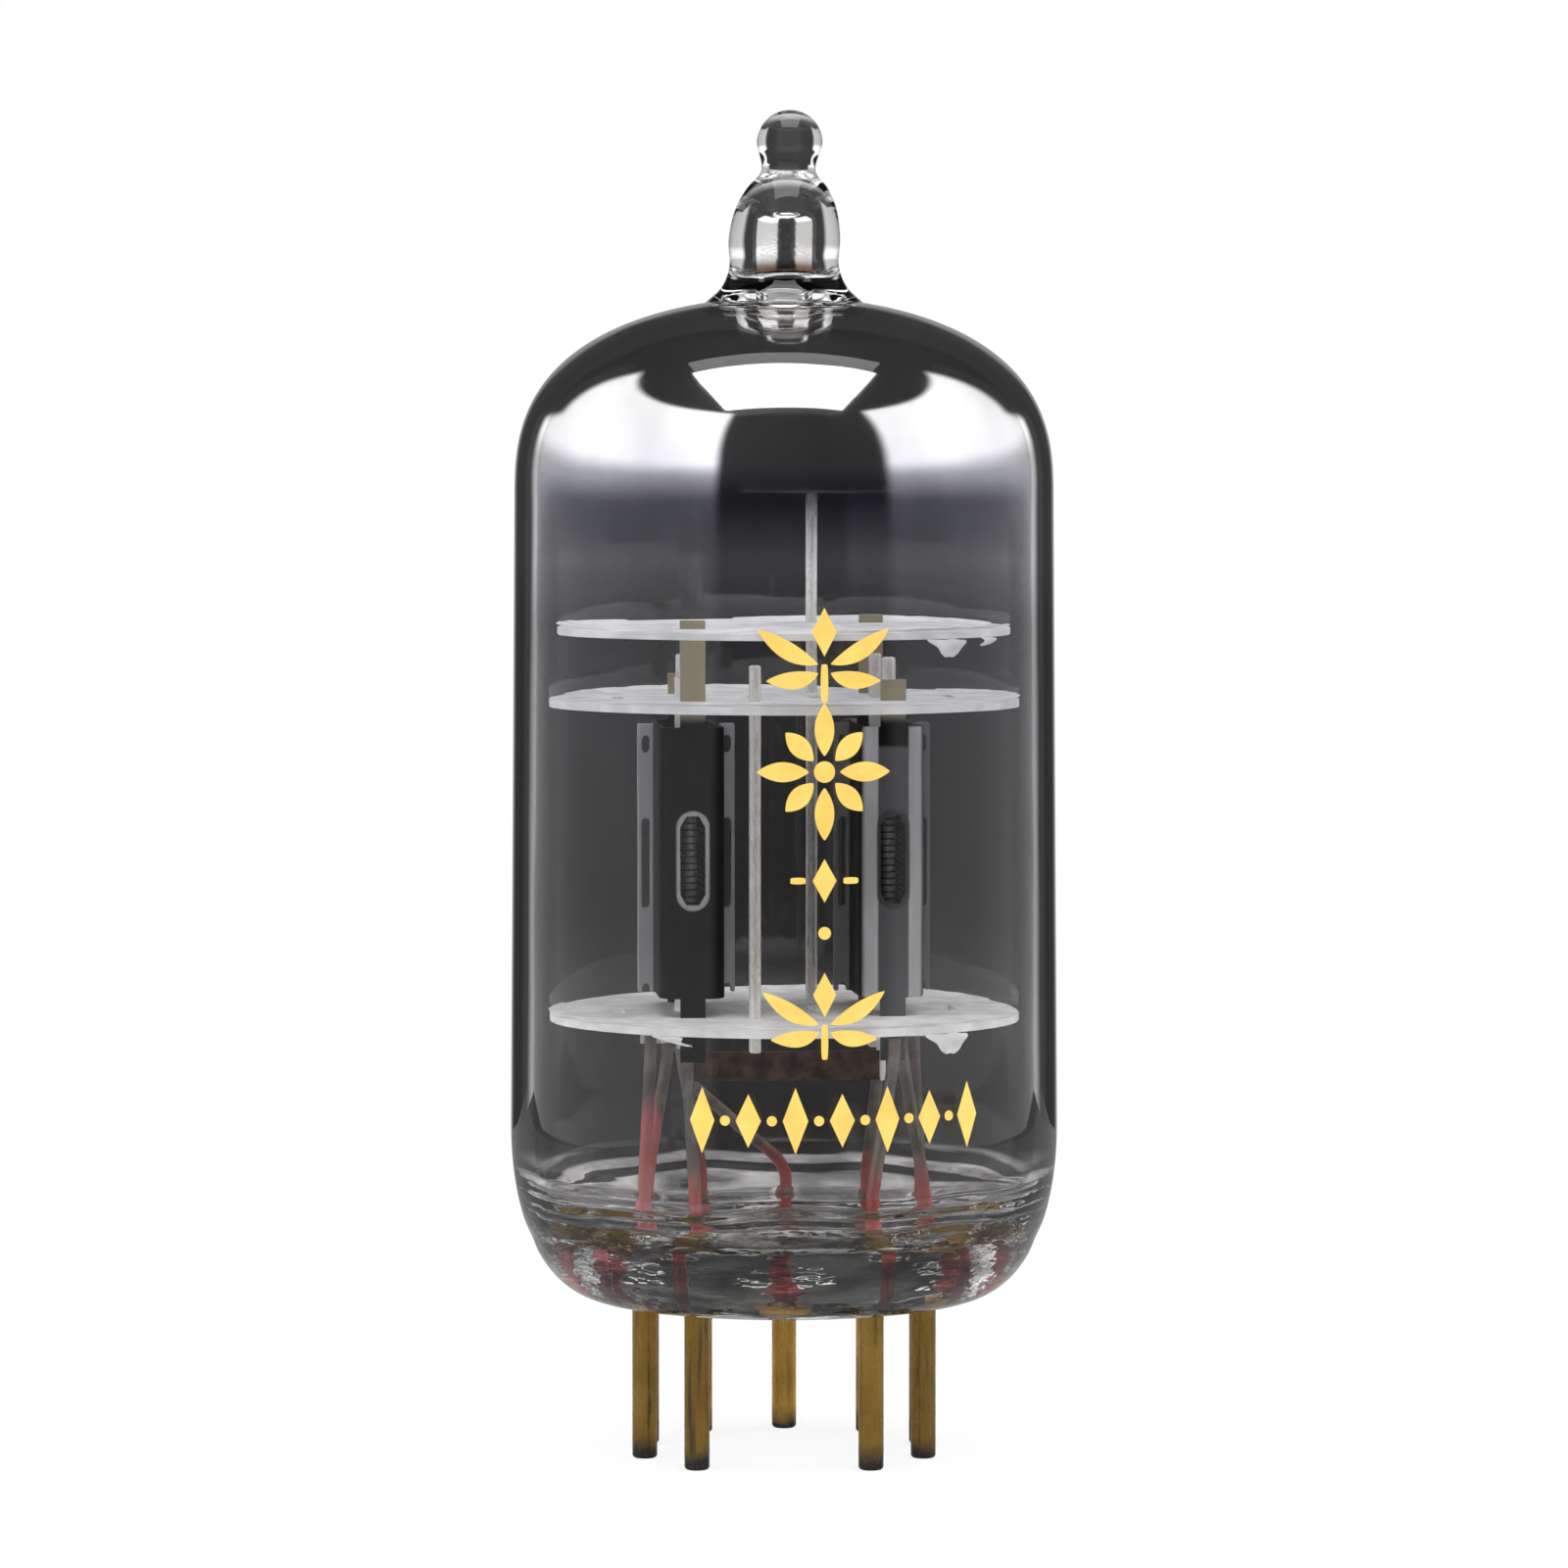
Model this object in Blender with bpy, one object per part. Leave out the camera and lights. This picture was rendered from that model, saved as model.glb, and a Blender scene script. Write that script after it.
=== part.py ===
"""Double triode vacuum tube on a nine-pin glass base.

The tube stands on its pin ends: Z is up, the origin is on the axis at the pin ends, and the wide
gap between two of the pins faces -Y. Everything inside the glass hangs on a cage of mica discs,
which sits a few degrees turned in the bulb, as it came off the bench.
"""

import math

import bmesh
import bpy
from mathutils import Matrix, Vector

MM = 0.001

# Fits: touching pieces keep this much air, and wires and tabs this much all round in their holes
SEAT_GAP = 0.03 * MM
HOLE_GAP = 0.03 * MM

# Pins, on the standard nine-pin circle with one place left out
PIN_COUNT = 9
PIN_PLACES = 10
PIN_CIRCLE_RADIUS = 5.945 * MM
PIN_RADIUS = 0.508 * MM
PIN_CHAMFER = 0.14 * MM
PIN_LENGTH = 7.7 * MM
PIN_SEGMENTS = 12

# Glass stem: a pressed button with a raised glass collar round each pin and lead
STEM_BOTTOM_Z = 6.4 * MM
STEM_TOP_Z = 9.5 * MM
STEM_DISH_RADIUS = 4.4 * MM
STEM_DISH_DEPTH = 0.25 * MM
STEM_FLAT_RADIUS = 7.2 * MM
STEM_EDGE_RADIUS = 0.5 * MM
SEAL_Z = 8.9 * MM
COLLAR_RADIUS = 1.0 * MM
COLLAR_NECK_RADIUS = 0.55 * MM
COLLAR_HEIGHT = 0.7 * MM
FOOT_NECK_RADIUS = 0.72 * MM
FOOT_HEIGHT = 0.22 * MM
COLLAR_ROOT = 0.3 * MM
COLLAR_SEGMENTS = 12

# Glass bulb: a slightly tapered wall, a drawn dome and the sealed exhaust tip
GLASS_SEGMENTS = 32
WALL = 0.9 * MM
BULB_RADIUS = 11.13 * MM
BULB_TAPER = 0.2 * MM
BEND_Z = 13.6 * MM
SHOULDER_Z = 38.8 * MM
DOME_HEIGHT = 8.25 * MM
TIP_ROOT_RADIUS = 3.2 * MM
TIP_HEIGHT = 7.55 * MM
TIP_BALL_RADIUS = 1.33 * MM
TIP_NECK_RADIUS = 1.1 * MM
TIP_SWELL_RADIUS = 2.26 * MM
TIP_BORE_RADIUS = 1.25 * MM
TIP_BORE_HEIGHT = 4.0 * MM
TUBE_END_RADIUS = 1.85 * MM
TUBE_END_DROP = 1.75 * MM

# Roundness of the glass outlines: 2 is an ellipse, and more is squarer
BEND_POWER = 2.2
DOME_POWER_ACROSS = 2.1
DOME_POWER_UP = 2.8
BEND_STEPS = 7
DOME_STEPS = 8
CURVE_STEPS = 2

# Getter flash: the silvery film on the inside of the dome
FLASH_TOP_DROP = 2.0 * MM
FLASH_DEPTH = 6.1 * MM
FLASH_THICKNESS = 0.05 * MM

# Micas, by the room that each leaves to the glass and the height of its underside
MICA_THICKNESS = 0.3 * MM
MICA_GLASS_GAP = 0.47 * MM
TOP_MICA_GLASS_GAP = 0.83 * MM
LOWER_MICA_Z = 17.85 * MM
UPPER_MICA_Z = 30.55 * MM
TOP_MICA_Z = 33.45 * MM
MICA_SEGMENTS = 48
SLIT_OFFSET = 2.75 * MM
SLIT_WIDTH = 0.45 * MM
SLIT_LENGTH = 2.4 * MM

# Cage: the two triodes stand side by side along its X
CAGE_TURN = math.radians(6.0)
TRIODE_OFFSET = 4.0 * MM
TAIL_LENGTH = 1.5 * MM

# Anodes: two folded half shells each, crimped at the wings
ANODE_SHEET = 0.24 * MM
ANODE_HALF_WIDTH = 1.3 * MM
ANODE_HALF_DEPTH = 3.6 * MM
ANODE_CORNER_RADIUS = 0.6 * MM
ANODE_CORNER_STEPS = 4
ANODE_MICA_GAP = 0.75 * MM
WING_REACH = 1.96 * MM
ANODE_TAB_WIDTH = 1.0 * MM
TALL_TAB_HEIGHT = 4.3 * MM
SHORT_TAB_HEIGHT = 1.9 * MM
WINDOW_WIDTH = 1.0 * MM
WINDOW_HEIGHT = 3.7 * MM
WINDOW_DROP = 3.5 * MM
WING_SLOT_WIDTH = 0.34 * MM
WING_SLOT_DROP = 3.8 * MM
WING_HOLE_DROP = 0.45 * MM
WING_HOLE_HEIGHT = 0.75 * MM

# Grids: two side rods and a wound wire
GRID_ROD_RADIUS = 0.28 * MM
GRID_ROD_OFFSET = 2.1 * MM
GRID_WIRE_RADIUS = 0.05 * MM
GRID_HALF_WIDTH = 0.72 * MM
GRID_TURNS = 14
GRID_MARGIN = 0.9 * MM
GRID_ROD_RISE = 1.7 * MM
GRID_ROD_SEGMENTS = 10
GRID_STEPS_PER_TURN = 12
GRID_END_BULGE = 1.15
GRID_FLATNESS = 3.0

# Cathode sleeves and the heaters inside them
CATHODE_HALF_WIDTH = 0.45 * MM
CATHODE_HALF_DEPTH = 0.95 * MM
CATHODE_WALL = 0.1 * MM
CATHODE_RISE = 0.8 * MM
CATHODE_DROP = 1.0 * MM
HEATER_RADIUS = 0.11 * MM
HEATER_PITCH = 0.4 * MM
HEATER_LEGS = 4
HEATER_INSET = 0.9 * MM
HEATER_TAIL = 1.6 * MM
RIBBON_SHEET = 0.12 * MM
RIBBON_HEIGHT = 0.6 * MM
RIBBON_REACH = 0.8 * MM
RIBBON_SPREAD = 0.6 * MM
LINK_HEIGHT = 1.2 * MM

# Support rod, getter post and getter ring
POST_X = 1.58 * MM
POST_Y = 4.05 * MM
POST_RADIUS = 0.24 * MM
POST_SEGMENTS = 8
SUPPORT_RISE = 1.45 * MM
POST_DROP = 1.1 * MM
GETTER_RISE = 5.4 * MM
GETTER_RADIUS = 2.9 * MM
GETTER_WIDTH = 0.9 * MM
GETTER_DEPTH = 0.65 * MM
GETTER_SHEET = 0.14 * MM
GETTER_SEGMENTS = 20

# Inner leads
LEAD_RADIUS = 0.25 * MM
LEAD_STRAIGHT = 0.6 * MM
LEAD_END_GAP = 0.6 * MM

# Heights, and the bulb's narrowest inner radius, that follow from the sizes above
DOME_TOP_Z = SHOULDER_Z + DOME_HEIGHT
TIP_TOP_Z = DOME_TOP_Z + TIP_HEIGHT
ANODE_BOTTOM_Z = LOWER_MICA_Z + MICA_THICKNESS + ANODE_MICA_GAP
ANODE_TOP_Z = UPPER_MICA_Z - ANODE_MICA_GAP
TAIL_Z = LOWER_MICA_Z - TAIL_LENGTH
UPPER_MICA_TOP_Z = UPPER_MICA_Z + MICA_THICKNESS
TOP_MICA_TOP_Z = TOP_MICA_Z + MICA_THICKNESS
LEAD_END_Z = LOWER_MICA_Z - LEAD_END_GAP
NARROWEST_BORE = BULB_RADIUS - BULB_TAPER - WALL
HEATER_TAIL_Z = LOWER_MICA_Z - CATHODE_DROP - HEATER_TAIL


# Tools for making pieces


def clear_scene():
    """Remove whatever the file starts with."""
    for thing in list(bpy.data.objects):
        bpy.data.objects.remove(thing, do_unlink=True)


def make_material(name, colour, roughness, metallic=0.0, transmission=0.0):
    """A Principled material; the colour is linear."""
    material = bpy.data.materials.new(name)
    material.use_nodes = True
    shader = material.node_tree.nodes["Principled BSDF"]
    shader.inputs["Base Color"].default_value = (*colour, 1.0)
    shader.inputs["Roughness"].default_value = roughness
    shader.inputs["Metallic"].default_value = metallic
    shader.inputs["Transmission Weight"].default_value = transmission
    material.diffuse_color = (*colour, 1.0)
    return material


def place(name, data, material, parent=None, location=(0.0, 0.0, 0.0)):
    """Put a mesh or a curve into the scene as one named piece."""
    if not data.materials:
        data.materials.append(material)
    piece = bpy.data.objects.new(name, data)
    bpy.context.collection.objects.link(piece)
    piece.parent = parent
    piece.location = location
    return piece


def place_empty(name, parent=None, location=(0.0, 0.0, 0.0), turn=0.0):
    """A frame that pieces hang from, turned about Z."""
    empty = bpy.data.objects.new(name, None)
    bpy.context.collection.objects.link(empty)
    empty.parent = parent
    empty.location = location
    empty.rotation_euler = (0.0, 0.0, turn)
    return empty


def mesh_of(name, points, faces, sharp_angle=math.radians(35.0)):
    """A closed mesh with its faces out, smooth except at its sharp edges."""
    mesh = bpy.data.meshes.new(name)
    mesh.from_pydata(points, [], faces)
    work = bmesh.new()
    work.from_mesh(mesh)
    bmesh.ops.recalc_face_normals(work, faces=work.faces)
    work.to_mesh(mesh)
    work.free()
    mesh.shade_smooth()
    mesh.set_sharp_from_angle(angle=sharp_angle)
    return mesh


def turned_mesh(name, outline, segments):
    """Turn (radius, height) points about Z; an outline off the axis closes on itself."""
    points, rings = [], []
    for radius, height in outline:
        count = segments if radius > 0.0 else 1
        rings.append([len(points) + step for step in range(count)])
        for step in range(count):
            turn = math.tau * step / segments
            points.append((radius * math.cos(turn), radius * math.sin(turn), height))
    pairs = list(zip(rings, rings[1:]))
    if outline[0][0] > 0.0:
        pairs.append((rings[-1], rings[0]))
    faces = []
    for one, other in pairs:
        for step in range(segments):
            after = (step + 1) % segments
            corners = (
                one[step % len(one)],
                one[after % len(one)],
                other[after % len(other)],
                other[step % len(other)],
            )
            faces.append(list(dict.fromkeys(corners)))
    return mesh_of(name, points, faces)


def smooth_curve(stations, steps):
    """Points of a curve that runs smoothly through the stations, ends included."""
    knots = [Vector(station) for station in stations]
    knots = [2 * knots[0] - knots[1], *knots, 2 * knots[-1] - knots[-2]]
    curve = [knots[1]]
    for span in zip(knots, knots[1:], knots[2:], knots[3:]):
        times = [0.0]
        for one, other in zip(span, span[1:]):
            times.append(times[-1] + math.sqrt((other - one).length))
        for step in range(1, steps + 1):
            time = times[1] + (times[2] - times[1]) * step / steps
            level = list(span)
            for pairs in (((0, 1), (1, 2), (2, 3)), ((0, 2), (1, 3)), ((1, 2),)):
                level = [
                    mix(one, other, times[start], times[end], time)
                    for (start, end), one, other in zip(pairs, level, level[1:])
                ]
            curve.append(level[0])
    return curve


def mix(one, other, start, end, time):
    """The point at a time between two points that have times of their own."""
    share = (time - start) / (end - start)
    return one * (1.0 - share) + other * share


def offset_curve(curve, distance):
    """The curve moved sideways, to the left of the way it runs."""
    moved = []
    for index, point in enumerate(curve):
        before = curve[max(index - 1, 0)]
        after = curve[min(index + 1, len(curve) - 1)]
        along = (after - before).normalized()
        moved.append(point + distance * Vector((-along.y, along.x)))
    return moved


def clip_curve(curve, low, high):
    """The stretch of a rising (radius, height) curve between two heights."""
    clipped = [at_height(curve, low)]
    clipped += [point for point in curve if low + SEAT_GAP < point.y < high - SEAT_GAP]
    return clipped + [at_height(curve, high)]


def at_height(curve, height):
    """The point of a rising (radius, height) curve at one height."""
    for lower, upper in zip(curve, curve[1:]):
        if lower.y <= height <= upper.y:
            return mix(lower, upper, lower.y, upper.y, height)
    return curve[0] if height < curve[0].y else curve[-1]


def ring_points(centre, radius, count, gap=0.0):
    """Corners of a round outline that keeps the gap along its flats too."""
    reach = (radius + gap) / (math.cos(math.pi / count) if gap else 1.0)
    return [
        (
            centre[0] + reach * math.cos(math.tau * step / count),
            centre[1] + reach * math.sin(math.tau * step / count),
        )
        for step in range(count)
    ]


def oblong_points(centre, half_width, half_depth, steps=5):
    """Corners of an outline with straight sides along Y and round ends."""
    points = []
    for side in (1, -1):
        for step in range(steps):
            turn = math.pi * step / (steps - 1)
            points.append(
                (
                    centre[0] + side * half_width * math.cos(turn),
                    centre[1] + side * (half_depth - half_width + half_width * math.sin(turn)),
                )
            )
    return points


def box_points(centre, half_width, half_depth):
    """Corners of a rectangle."""
    return [
        (centre[0] + half_width * across, centre[1] + half_depth * along)
        for across, along in ((-1, -1), (1, -1), (1, 1), (-1, 1))
    ]


def plate_curve(name, outline, holes, bottom, height):
    """A flat plate, or a tube along Z, as a filled curve with holes."""
    curve = bpy.data.curves.new(name, "CURVE")
    curve.dimensions = "2D"
    curve.fill_mode = "BOTH"
    curve.extrude = height / 2
    for corners in (outline, *holes):
        spline = curve.splines.new("POLY")
        spline.points.add(len(corners) - 1)
        spline.use_cyclic_u = True
        for point, (across, along) in zip(spline.points, corners):
            point.co = (across, along, 0.0, 1.0)
    curve.transform(Matrix.Translation((0.0, 0.0, bottom + height / 2)))
    return curve


def wire_curve(name, route, radius, resolution=1):
    """A round wire along a route of points."""
    curve = bpy.data.curves.new(name, "CURVE")
    curve.dimensions = "3D"
    curve.bevel_depth = radius
    curve.bevel_resolution = resolution
    curve.use_fill_caps = True
    spline = curve.splines.new("POLY")
    spline.points.add(len(route) - 1)
    for point, place_on_route in zip(spline.points, route):
        point.co = (*place_on_route, 1.0)
    return curve


def folded_sheet(name, path, thickness, rows, keeps=lambda column, row: True):
    """Sheet metal that stands along Z and is folded along a path in X and Y.

    The path is the middle of the sheet. A cell between two path points and two rows is there
    where keeps says so, which leaves tabs and notches.
    """
    middle = [Vector(point) for point in path]
    sides = [[], []]
    for index, point in enumerate(middle):
        into = (point - middle[index - 1]).normalized() if index else None
        out = (middle[index + 1] - point).normalized() if index + 1 < len(middle) else into
        into = into or out
        normal = Vector((-(into + out).y, (into + out).x)).normalized()
        reach = thickness / 2 / normal.dot(Vector((-into.y, into.x)))
        sides[0].append(point + normal * reach)
        sides[1].append(point - normal * reach)
    points = [(*side[column], row) for side in sides for column in range(len(middle)) for row in rows]

    def corner(side, column, row):
        return (side * len(middle) + column) * len(rows) + row

    def is_kept(column, row):
        inside = 0 <= column < len(middle) - 1 and 0 <= row < len(rows) - 1
        return inside and keeps(column, row)

    faces = []
    for column in range(len(middle) - 1):
        for row in range(len(rows) - 1):
            if not is_kept(column, row):
                continue
            around = ((column, row), (column + 1, row), (column + 1, row + 1), (column, row + 1))
            neighbours = ((column, row - 1), (column + 1, row), (column, row + 1), (column - 1, row))
            for side in (0, 1):
                faces.append([corner(side, *spot) for spot in around])
            for index, neighbour in enumerate(neighbours):
                if is_kept(*neighbour):
                    continue
                start, end = around[index], around[(index + 1) % 4]
                faces.append([corner(0, *start), corner(0, *end), corner(1, *end), corner(1, *start)])
    used = sorted({index for face in faces for index in face})
    new_index = {old: new for new, old in enumerate(used)}
    faces = [[new_index[index] for index in face] for face in faces]
    return mesh_of(name, [points[index] for index in used], faces)


def slot_prism(centre, half_width, half_height, depth, steps=4):
    """Points and faces of a round-ended slot cutter: centre is (x, y, z), and it runs along Y."""
    outline = [
        (across, centre[2] + rise)
        for across, rise in oblong_points((centre[0], 0.0), half_width, half_height, steps)
    ]
    count = len(outline)
    points = [
        (across, centre[1] + end * depth / 2, rise) for end in (-1, 1) for across, rise in outline
    ]
    faces = [list(range(count)), list(range(count, 2 * count))]
    for index in range(count):
        after = (index + 1) % count
        faces.append([index, after, count + after, count + index])
    return points, faces


def joined_mesh(name, shapes):
    """One mesh of several separate closed shapes, each given as points and faces."""
    points, faces = [], []
    for shape_points, shape_faces in shapes:
        faces += [[len(points) + index for index in face] for face in shape_faces]
        points += shape_points
    return mesh_of(name, points, faces)


def add_boolean(piece, tool_mesh, operation):
    """Join or cut a piece with a tool that isn't part of the tube."""
    tool = bpy.data.objects.new(tool_mesh.name, tool_mesh)
    bpy.context.collection.objects.link(tool)
    tool.parent = piece.parent
    tool.location = piece.location
    tool.hide_render = True
    tool.display_type = "WIRE"
    modifier = piece.modifiers.new(tool_mesh.name, "BOOLEAN")
    modifier.operation = operation
    modifier.object = tool


# Outlines of the glass


def lower_bend():
    """Outside of the glass from its flat underside up to the straight wall."""
    across = BULB_RADIUS - STEM_FLAT_RADIUS
    rise = BEND_Z - STEM_BOTTOM_Z
    curve = []
    for step in range(BEND_STEPS + 1):
        turn = math.pi / 2 * step / BEND_STEPS
        curve.append(
            Vector(
                (
                    STEM_FLAT_RADIUS + across * math.sin(turn) ** (2 / BEND_POWER),
                    BEND_Z - rise * math.cos(turn) ** (2 / BEND_POWER),
                )
            )
        )
    return curve


def dome():
    """Outside of the dome from the straight wall up to the root of the exhaust tip."""
    radius = BULB_RADIUS - BULB_TAPER
    last_turn = math.acos((TIP_ROOT_RADIUS / radius) ** (DOME_POWER_ACROSS / 2))
    curve = []
    for step in range(DOME_STEPS + 1):
        turn = last_turn * step / DOME_STEPS
        curve.append(
            Vector(
                (
                    radius * math.cos(turn) ** (2 / DOME_POWER_ACROSS),
                    SHOULDER_Z + DOME_HEIGHT * math.sin(turn) ** (2 / DOME_POWER_UP),
                )
            )
        )
    return curve


def wall_outside():
    """Outside of the glass from its underside up to the root of the tip."""
    return lower_bend() + dome()


def wall_inside(gap=0.0):
    """Inside of the bulb's wall, or a line that keeps a gap to it."""
    return offset_curve(wall_outside(), WALL + gap)


def tip_outside():
    """The exhaust tip above its root: a waist, a swell, a drawn neck and the ball that sealed it."""
    base = DOME_TOP_Z
    ball_z = TIP_TOP_Z - TIP_BALL_RADIUS
    rise = ball_z - base
    stations = [
        dome()[-1],
        (TIP_SWELL_RADIUS * 1.11, base + 0.07 * rise),
        (TIP_SWELL_RADIUS * 0.98, base + 0.2 * rise),
        (TIP_SWELL_RADIUS, base + 0.38 * rise),
        (TIP_SWELL_RADIUS * 0.9, base + 0.58 * rise),
        (TIP_SWELL_RADIUS * 0.72, base + 0.71 * rise),
        (TIP_NECK_RADIUS, base + 0.82 * rise),
        (TIP_BALL_RADIUS, ball_z),
    ]
    curve = smooth_curve(stations, CURVE_STEPS)[1:]
    for turn in (math.radians(25.0), math.radians(50.0), math.radians(70.0)):
        curve.append(
            Vector((TIP_BALL_RADIUS * math.cos(turn), ball_z + TIP_BALL_RADIUS * math.sin(turn)))
        )
    return curve + [Vector((0.0, TIP_TOP_Z))]


def tip_inside():
    """The exhaust tube's ring end in the dome, and the bore up the tip, closed at its top."""
    end_z = DOME_TOP_Z - TUBE_END_DROP
    bore_top_z = DOME_TOP_Z + TIP_BORE_HEIGHT
    lip = (TUBE_END_RADIUS - TIP_BORE_RADIUS) / 2
    return [
        Vector((TUBE_END_RADIUS + lip, wall_inside()[-1].y)),
        Vector((TUBE_END_RADIUS, end_z + lip)),
        Vector((TUBE_END_RADIUS - lip / 2, end_z)),
        Vector((TIP_BORE_RADIUS + lip / 2, end_z)),
        Vector((TIP_BORE_RADIUS, end_z + lip)),
        Vector((TIP_BORE_RADIUS, bore_top_z - 2 * TIP_BORE_RADIUS)),
        Vector((TIP_BORE_RADIUS * 0.9, bore_top_z - TIP_BORE_RADIUS)),
        Vector((TIP_BORE_RADIUS * 0.5, bore_top_z - TIP_BORE_RADIUS * 0.3)),
        Vector((0.0, bore_top_z)),
    ]


# Glass pieces


def add_bulb(glass):
    """The blown bulb with its tip, open at the seal."""
    outside = clip_curve(wall_outside(), SEAL_Z, dome()[-1].y) + tip_outside()
    inside = clip_curve(wall_inside(), SEAL_Z, wall_inside()[-1].y) + tip_inside()
    outline = [tuple(point) for point in outside[::-1] + inside]
    place("glass_bulb", turned_mesh("glass_bulb", outline, GLASS_SEGMENTS), glass)


def add_stem(glass):
    """The pressed button that closes the bulb, with a collar round every pin and a hole for it."""
    seat = SEAL_Z - SEAT_GAP
    plug_radius = at_height(wall_inside(), SEAL_Z).x - SEAT_GAP
    outline = [
        (0.0, STEM_BOTTOM_Z + STEM_DISH_DEPTH),
        (STEM_DISH_RADIUS, STEM_BOTTOM_Z + STEM_DISH_DEPTH),
        (STEM_DISH_RADIUS + STEM_DISH_DEPTH, STEM_BOTTOM_Z),
        *(tuple(point) for point in clip_curve(lower_bend(), STEM_BOTTOM_Z, seat)),
        (plug_radius, seat),
        (plug_radius, STEM_TOP_Z - STEM_EDGE_RADIUS / 2),
        (plug_radius - STEM_EDGE_RADIUS, STEM_TOP_Z),
        (0.0, STEM_TOP_Z),
    ]
    stem = place("glass_stem", turned_mesh("glass_stem", outline, GLASS_SEGMENTS), glass)
    collar = [
        (0.0, STEM_BOTTOM_Z - FOOT_HEIGHT),
        (FOOT_NECK_RADIUS, STEM_BOTTOM_Z - FOOT_HEIGHT),
        (COLLAR_RADIUS, STEM_BOTTOM_Z + COLLAR_ROOT),
        (COLLAR_RADIUS, STEM_TOP_Z - COLLAR_ROOT),
        (COLLAR_NECK_RADIUS, STEM_TOP_Z + COLLAR_HEIGHT),
        (0.0, STEM_TOP_Z + COLLAR_HEIGHT),
    ]
    shoulder_z = PIN_LENGTH + SEAT_GAP
    drill = [
        (0.0, 0.0),
        (PIN_RADIUS + HOLE_GAP, 0.0),
        (PIN_RADIUS + HOLE_GAP, shoulder_z),
        (LEAD_RADIUS + HOLE_GAP, shoulder_z),
        (LEAD_RADIUS + HOLE_GAP, STEM_TOP_Z + 2 * COLLAR_HEIGHT),
        (0.0, STEM_TOP_Z + 2 * COLLAR_HEIGHT),
    ]
    for name, profile, operation in (
        ("stem_collars", collar, "UNION"),
        ("stem_drills", drill, "DIFFERENCE"),
    ):
        add_boolean(stem, copies_on_circle(name, profile, COLLAR_SEGMENTS), operation)


def copies_on_circle(name, profile, segments):
    """One mesh with a turned copy at each pin place."""
    work = bmesh.new()
    pattern = turned_mesh(name + "_pattern", profile, segments)
    for number in range(1, PIN_COUNT + 1):
        start = len(work.verts)
        work.from_mesh(pattern)
        work.verts.ensure_lookup_table()
        bmesh.ops.translate(work, verts=work.verts[start:], vec=(*pin_place(number), 0.0))
    mesh = bpy.data.meshes.new(name)
    work.to_mesh(mesh)
    work.free()
    bpy.data.meshes.remove(pattern)
    return mesh


def pin_place(number):
    """Where a pin stands; pin 1 is the first past the gap, counted clockwise from below."""
    turn = math.tau * number / PIN_PLACES
    return PIN_CIRCLE_RADIUS * math.sin(turn), -PIN_CIRCLE_RADIUS * math.cos(turn)


def add_flash(flash):
    """The film that the getter left on the inside of the dome."""
    top = DOME_TOP_Z - FLASH_TOP_DROP
    bottom = top - FLASH_DEPTH
    outside = clip_curve(wall_inside(SEAT_GAP), bottom, top)
    inside = clip_curve(wall_inside(SEAT_GAP + FLASH_THICKNESS), bottom, top)
    outline = [tuple(point) for point in outside + inside[::-1]]
    place("getter_flash", turned_mesh("getter_flash", outline, GLASS_SEGMENTS), flash)


# Pins and leads


def add_pins(gold):
    """Nine like pins, each with a chamfered end and its head in the glass."""
    outline = [
        (0.0, 0.0),
        (PIN_RADIUS - PIN_CHAMFER, 0.0),
        (PIN_RADIUS, PIN_CHAMFER),
        (PIN_RADIUS, PIN_LENGTH),
        (0.0, PIN_LENGTH),
    ]
    mesh = turned_mesh("pin", outline, PIN_SEGMENTS)
    for number in range(1, PIN_COUNT + 1):
        place(f"pin_{number}", mesh, gold, location=(*pin_place(number), 0.0))


def from_cage(across, along):
    """A spot of the turned cage, in the tube's own frame."""
    spot = Matrix.Rotation(CAGE_TURN, 2) @ Vector((across, along))
    return spot.x, spot.y


def lead_ends():
    """Where each lead is welded, as cage coordinates and the height of its end."""
    beside = LEAD_RADIUS + SEAT_GAP
    anode = ANODE_HALF_DEPTH + beside
    grid = GRID_ROD_RADIUS + beside
    heater_z = HEATER_TAIL_Z + LEAD_STRAIGHT + LEAD_RADIUS
    heater = heater_leg(HEATER_LEGS - 1) + HEATER_RADIUS + beside
    ribbon = (
        ribbon_start() + RIBBON_SPREAD + RIBBON_REACH / 2,
        CATHODE_HALF_DEPTH + RIBBON_SHEET / 2 + beside,
    )
    return {
        1: (TRIODE_OFFSET, -anode, LEAD_END_Z),
        2: (TRIODE_OFFSET + grid, -GRID_ROD_OFFSET, LEAD_END_Z),
        3: (TRIODE_OFFSET + ribbon[0], ribbon[1], LEAD_END_Z),
        4: (TRIODE_OFFSET, heater, heater_z),
        5: (-TRIODE_OFFSET, heater, heater_z),
        6: (-TRIODE_OFFSET, anode, LEAD_END_Z),
        7: (-TRIODE_OFFSET - grid, GRID_ROD_OFFSET, LEAD_END_Z),
        8: (-TRIODE_OFFSET - ribbon[0], -ribbon[1], LEAD_END_Z),
        9: (-TRIODE_OFFSET, -heater, heater_z),
    }


def add_leads(copper):
    """Nine copper-clad leads, straight in the glass and then bent over to their welds."""
    for number, (across, along, end_z) in lead_ends().items():
        foot = Vector((*pin_place(number), PIN_LENGTH + SEAT_GAP))
        knee = Vector((foot.x, foot.y, STEM_TOP_Z + COLLAR_HEIGHT + LEAD_STRAIGHT))
        weld = Vector((*from_cage(across, along), end_z))
        turn_up = weld - Vector((0.0, 0.0, LEAD_STRAIGHT))
        middle = (knee + turn_up) / 2
        route = [foot] + smooth_curve([knee, middle, turn_up, weld], 2)
        place(f"lead_{number}", wire_curve(f"lead_{number}", route, LEAD_RADIUS), copper)


# Triodes


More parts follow.
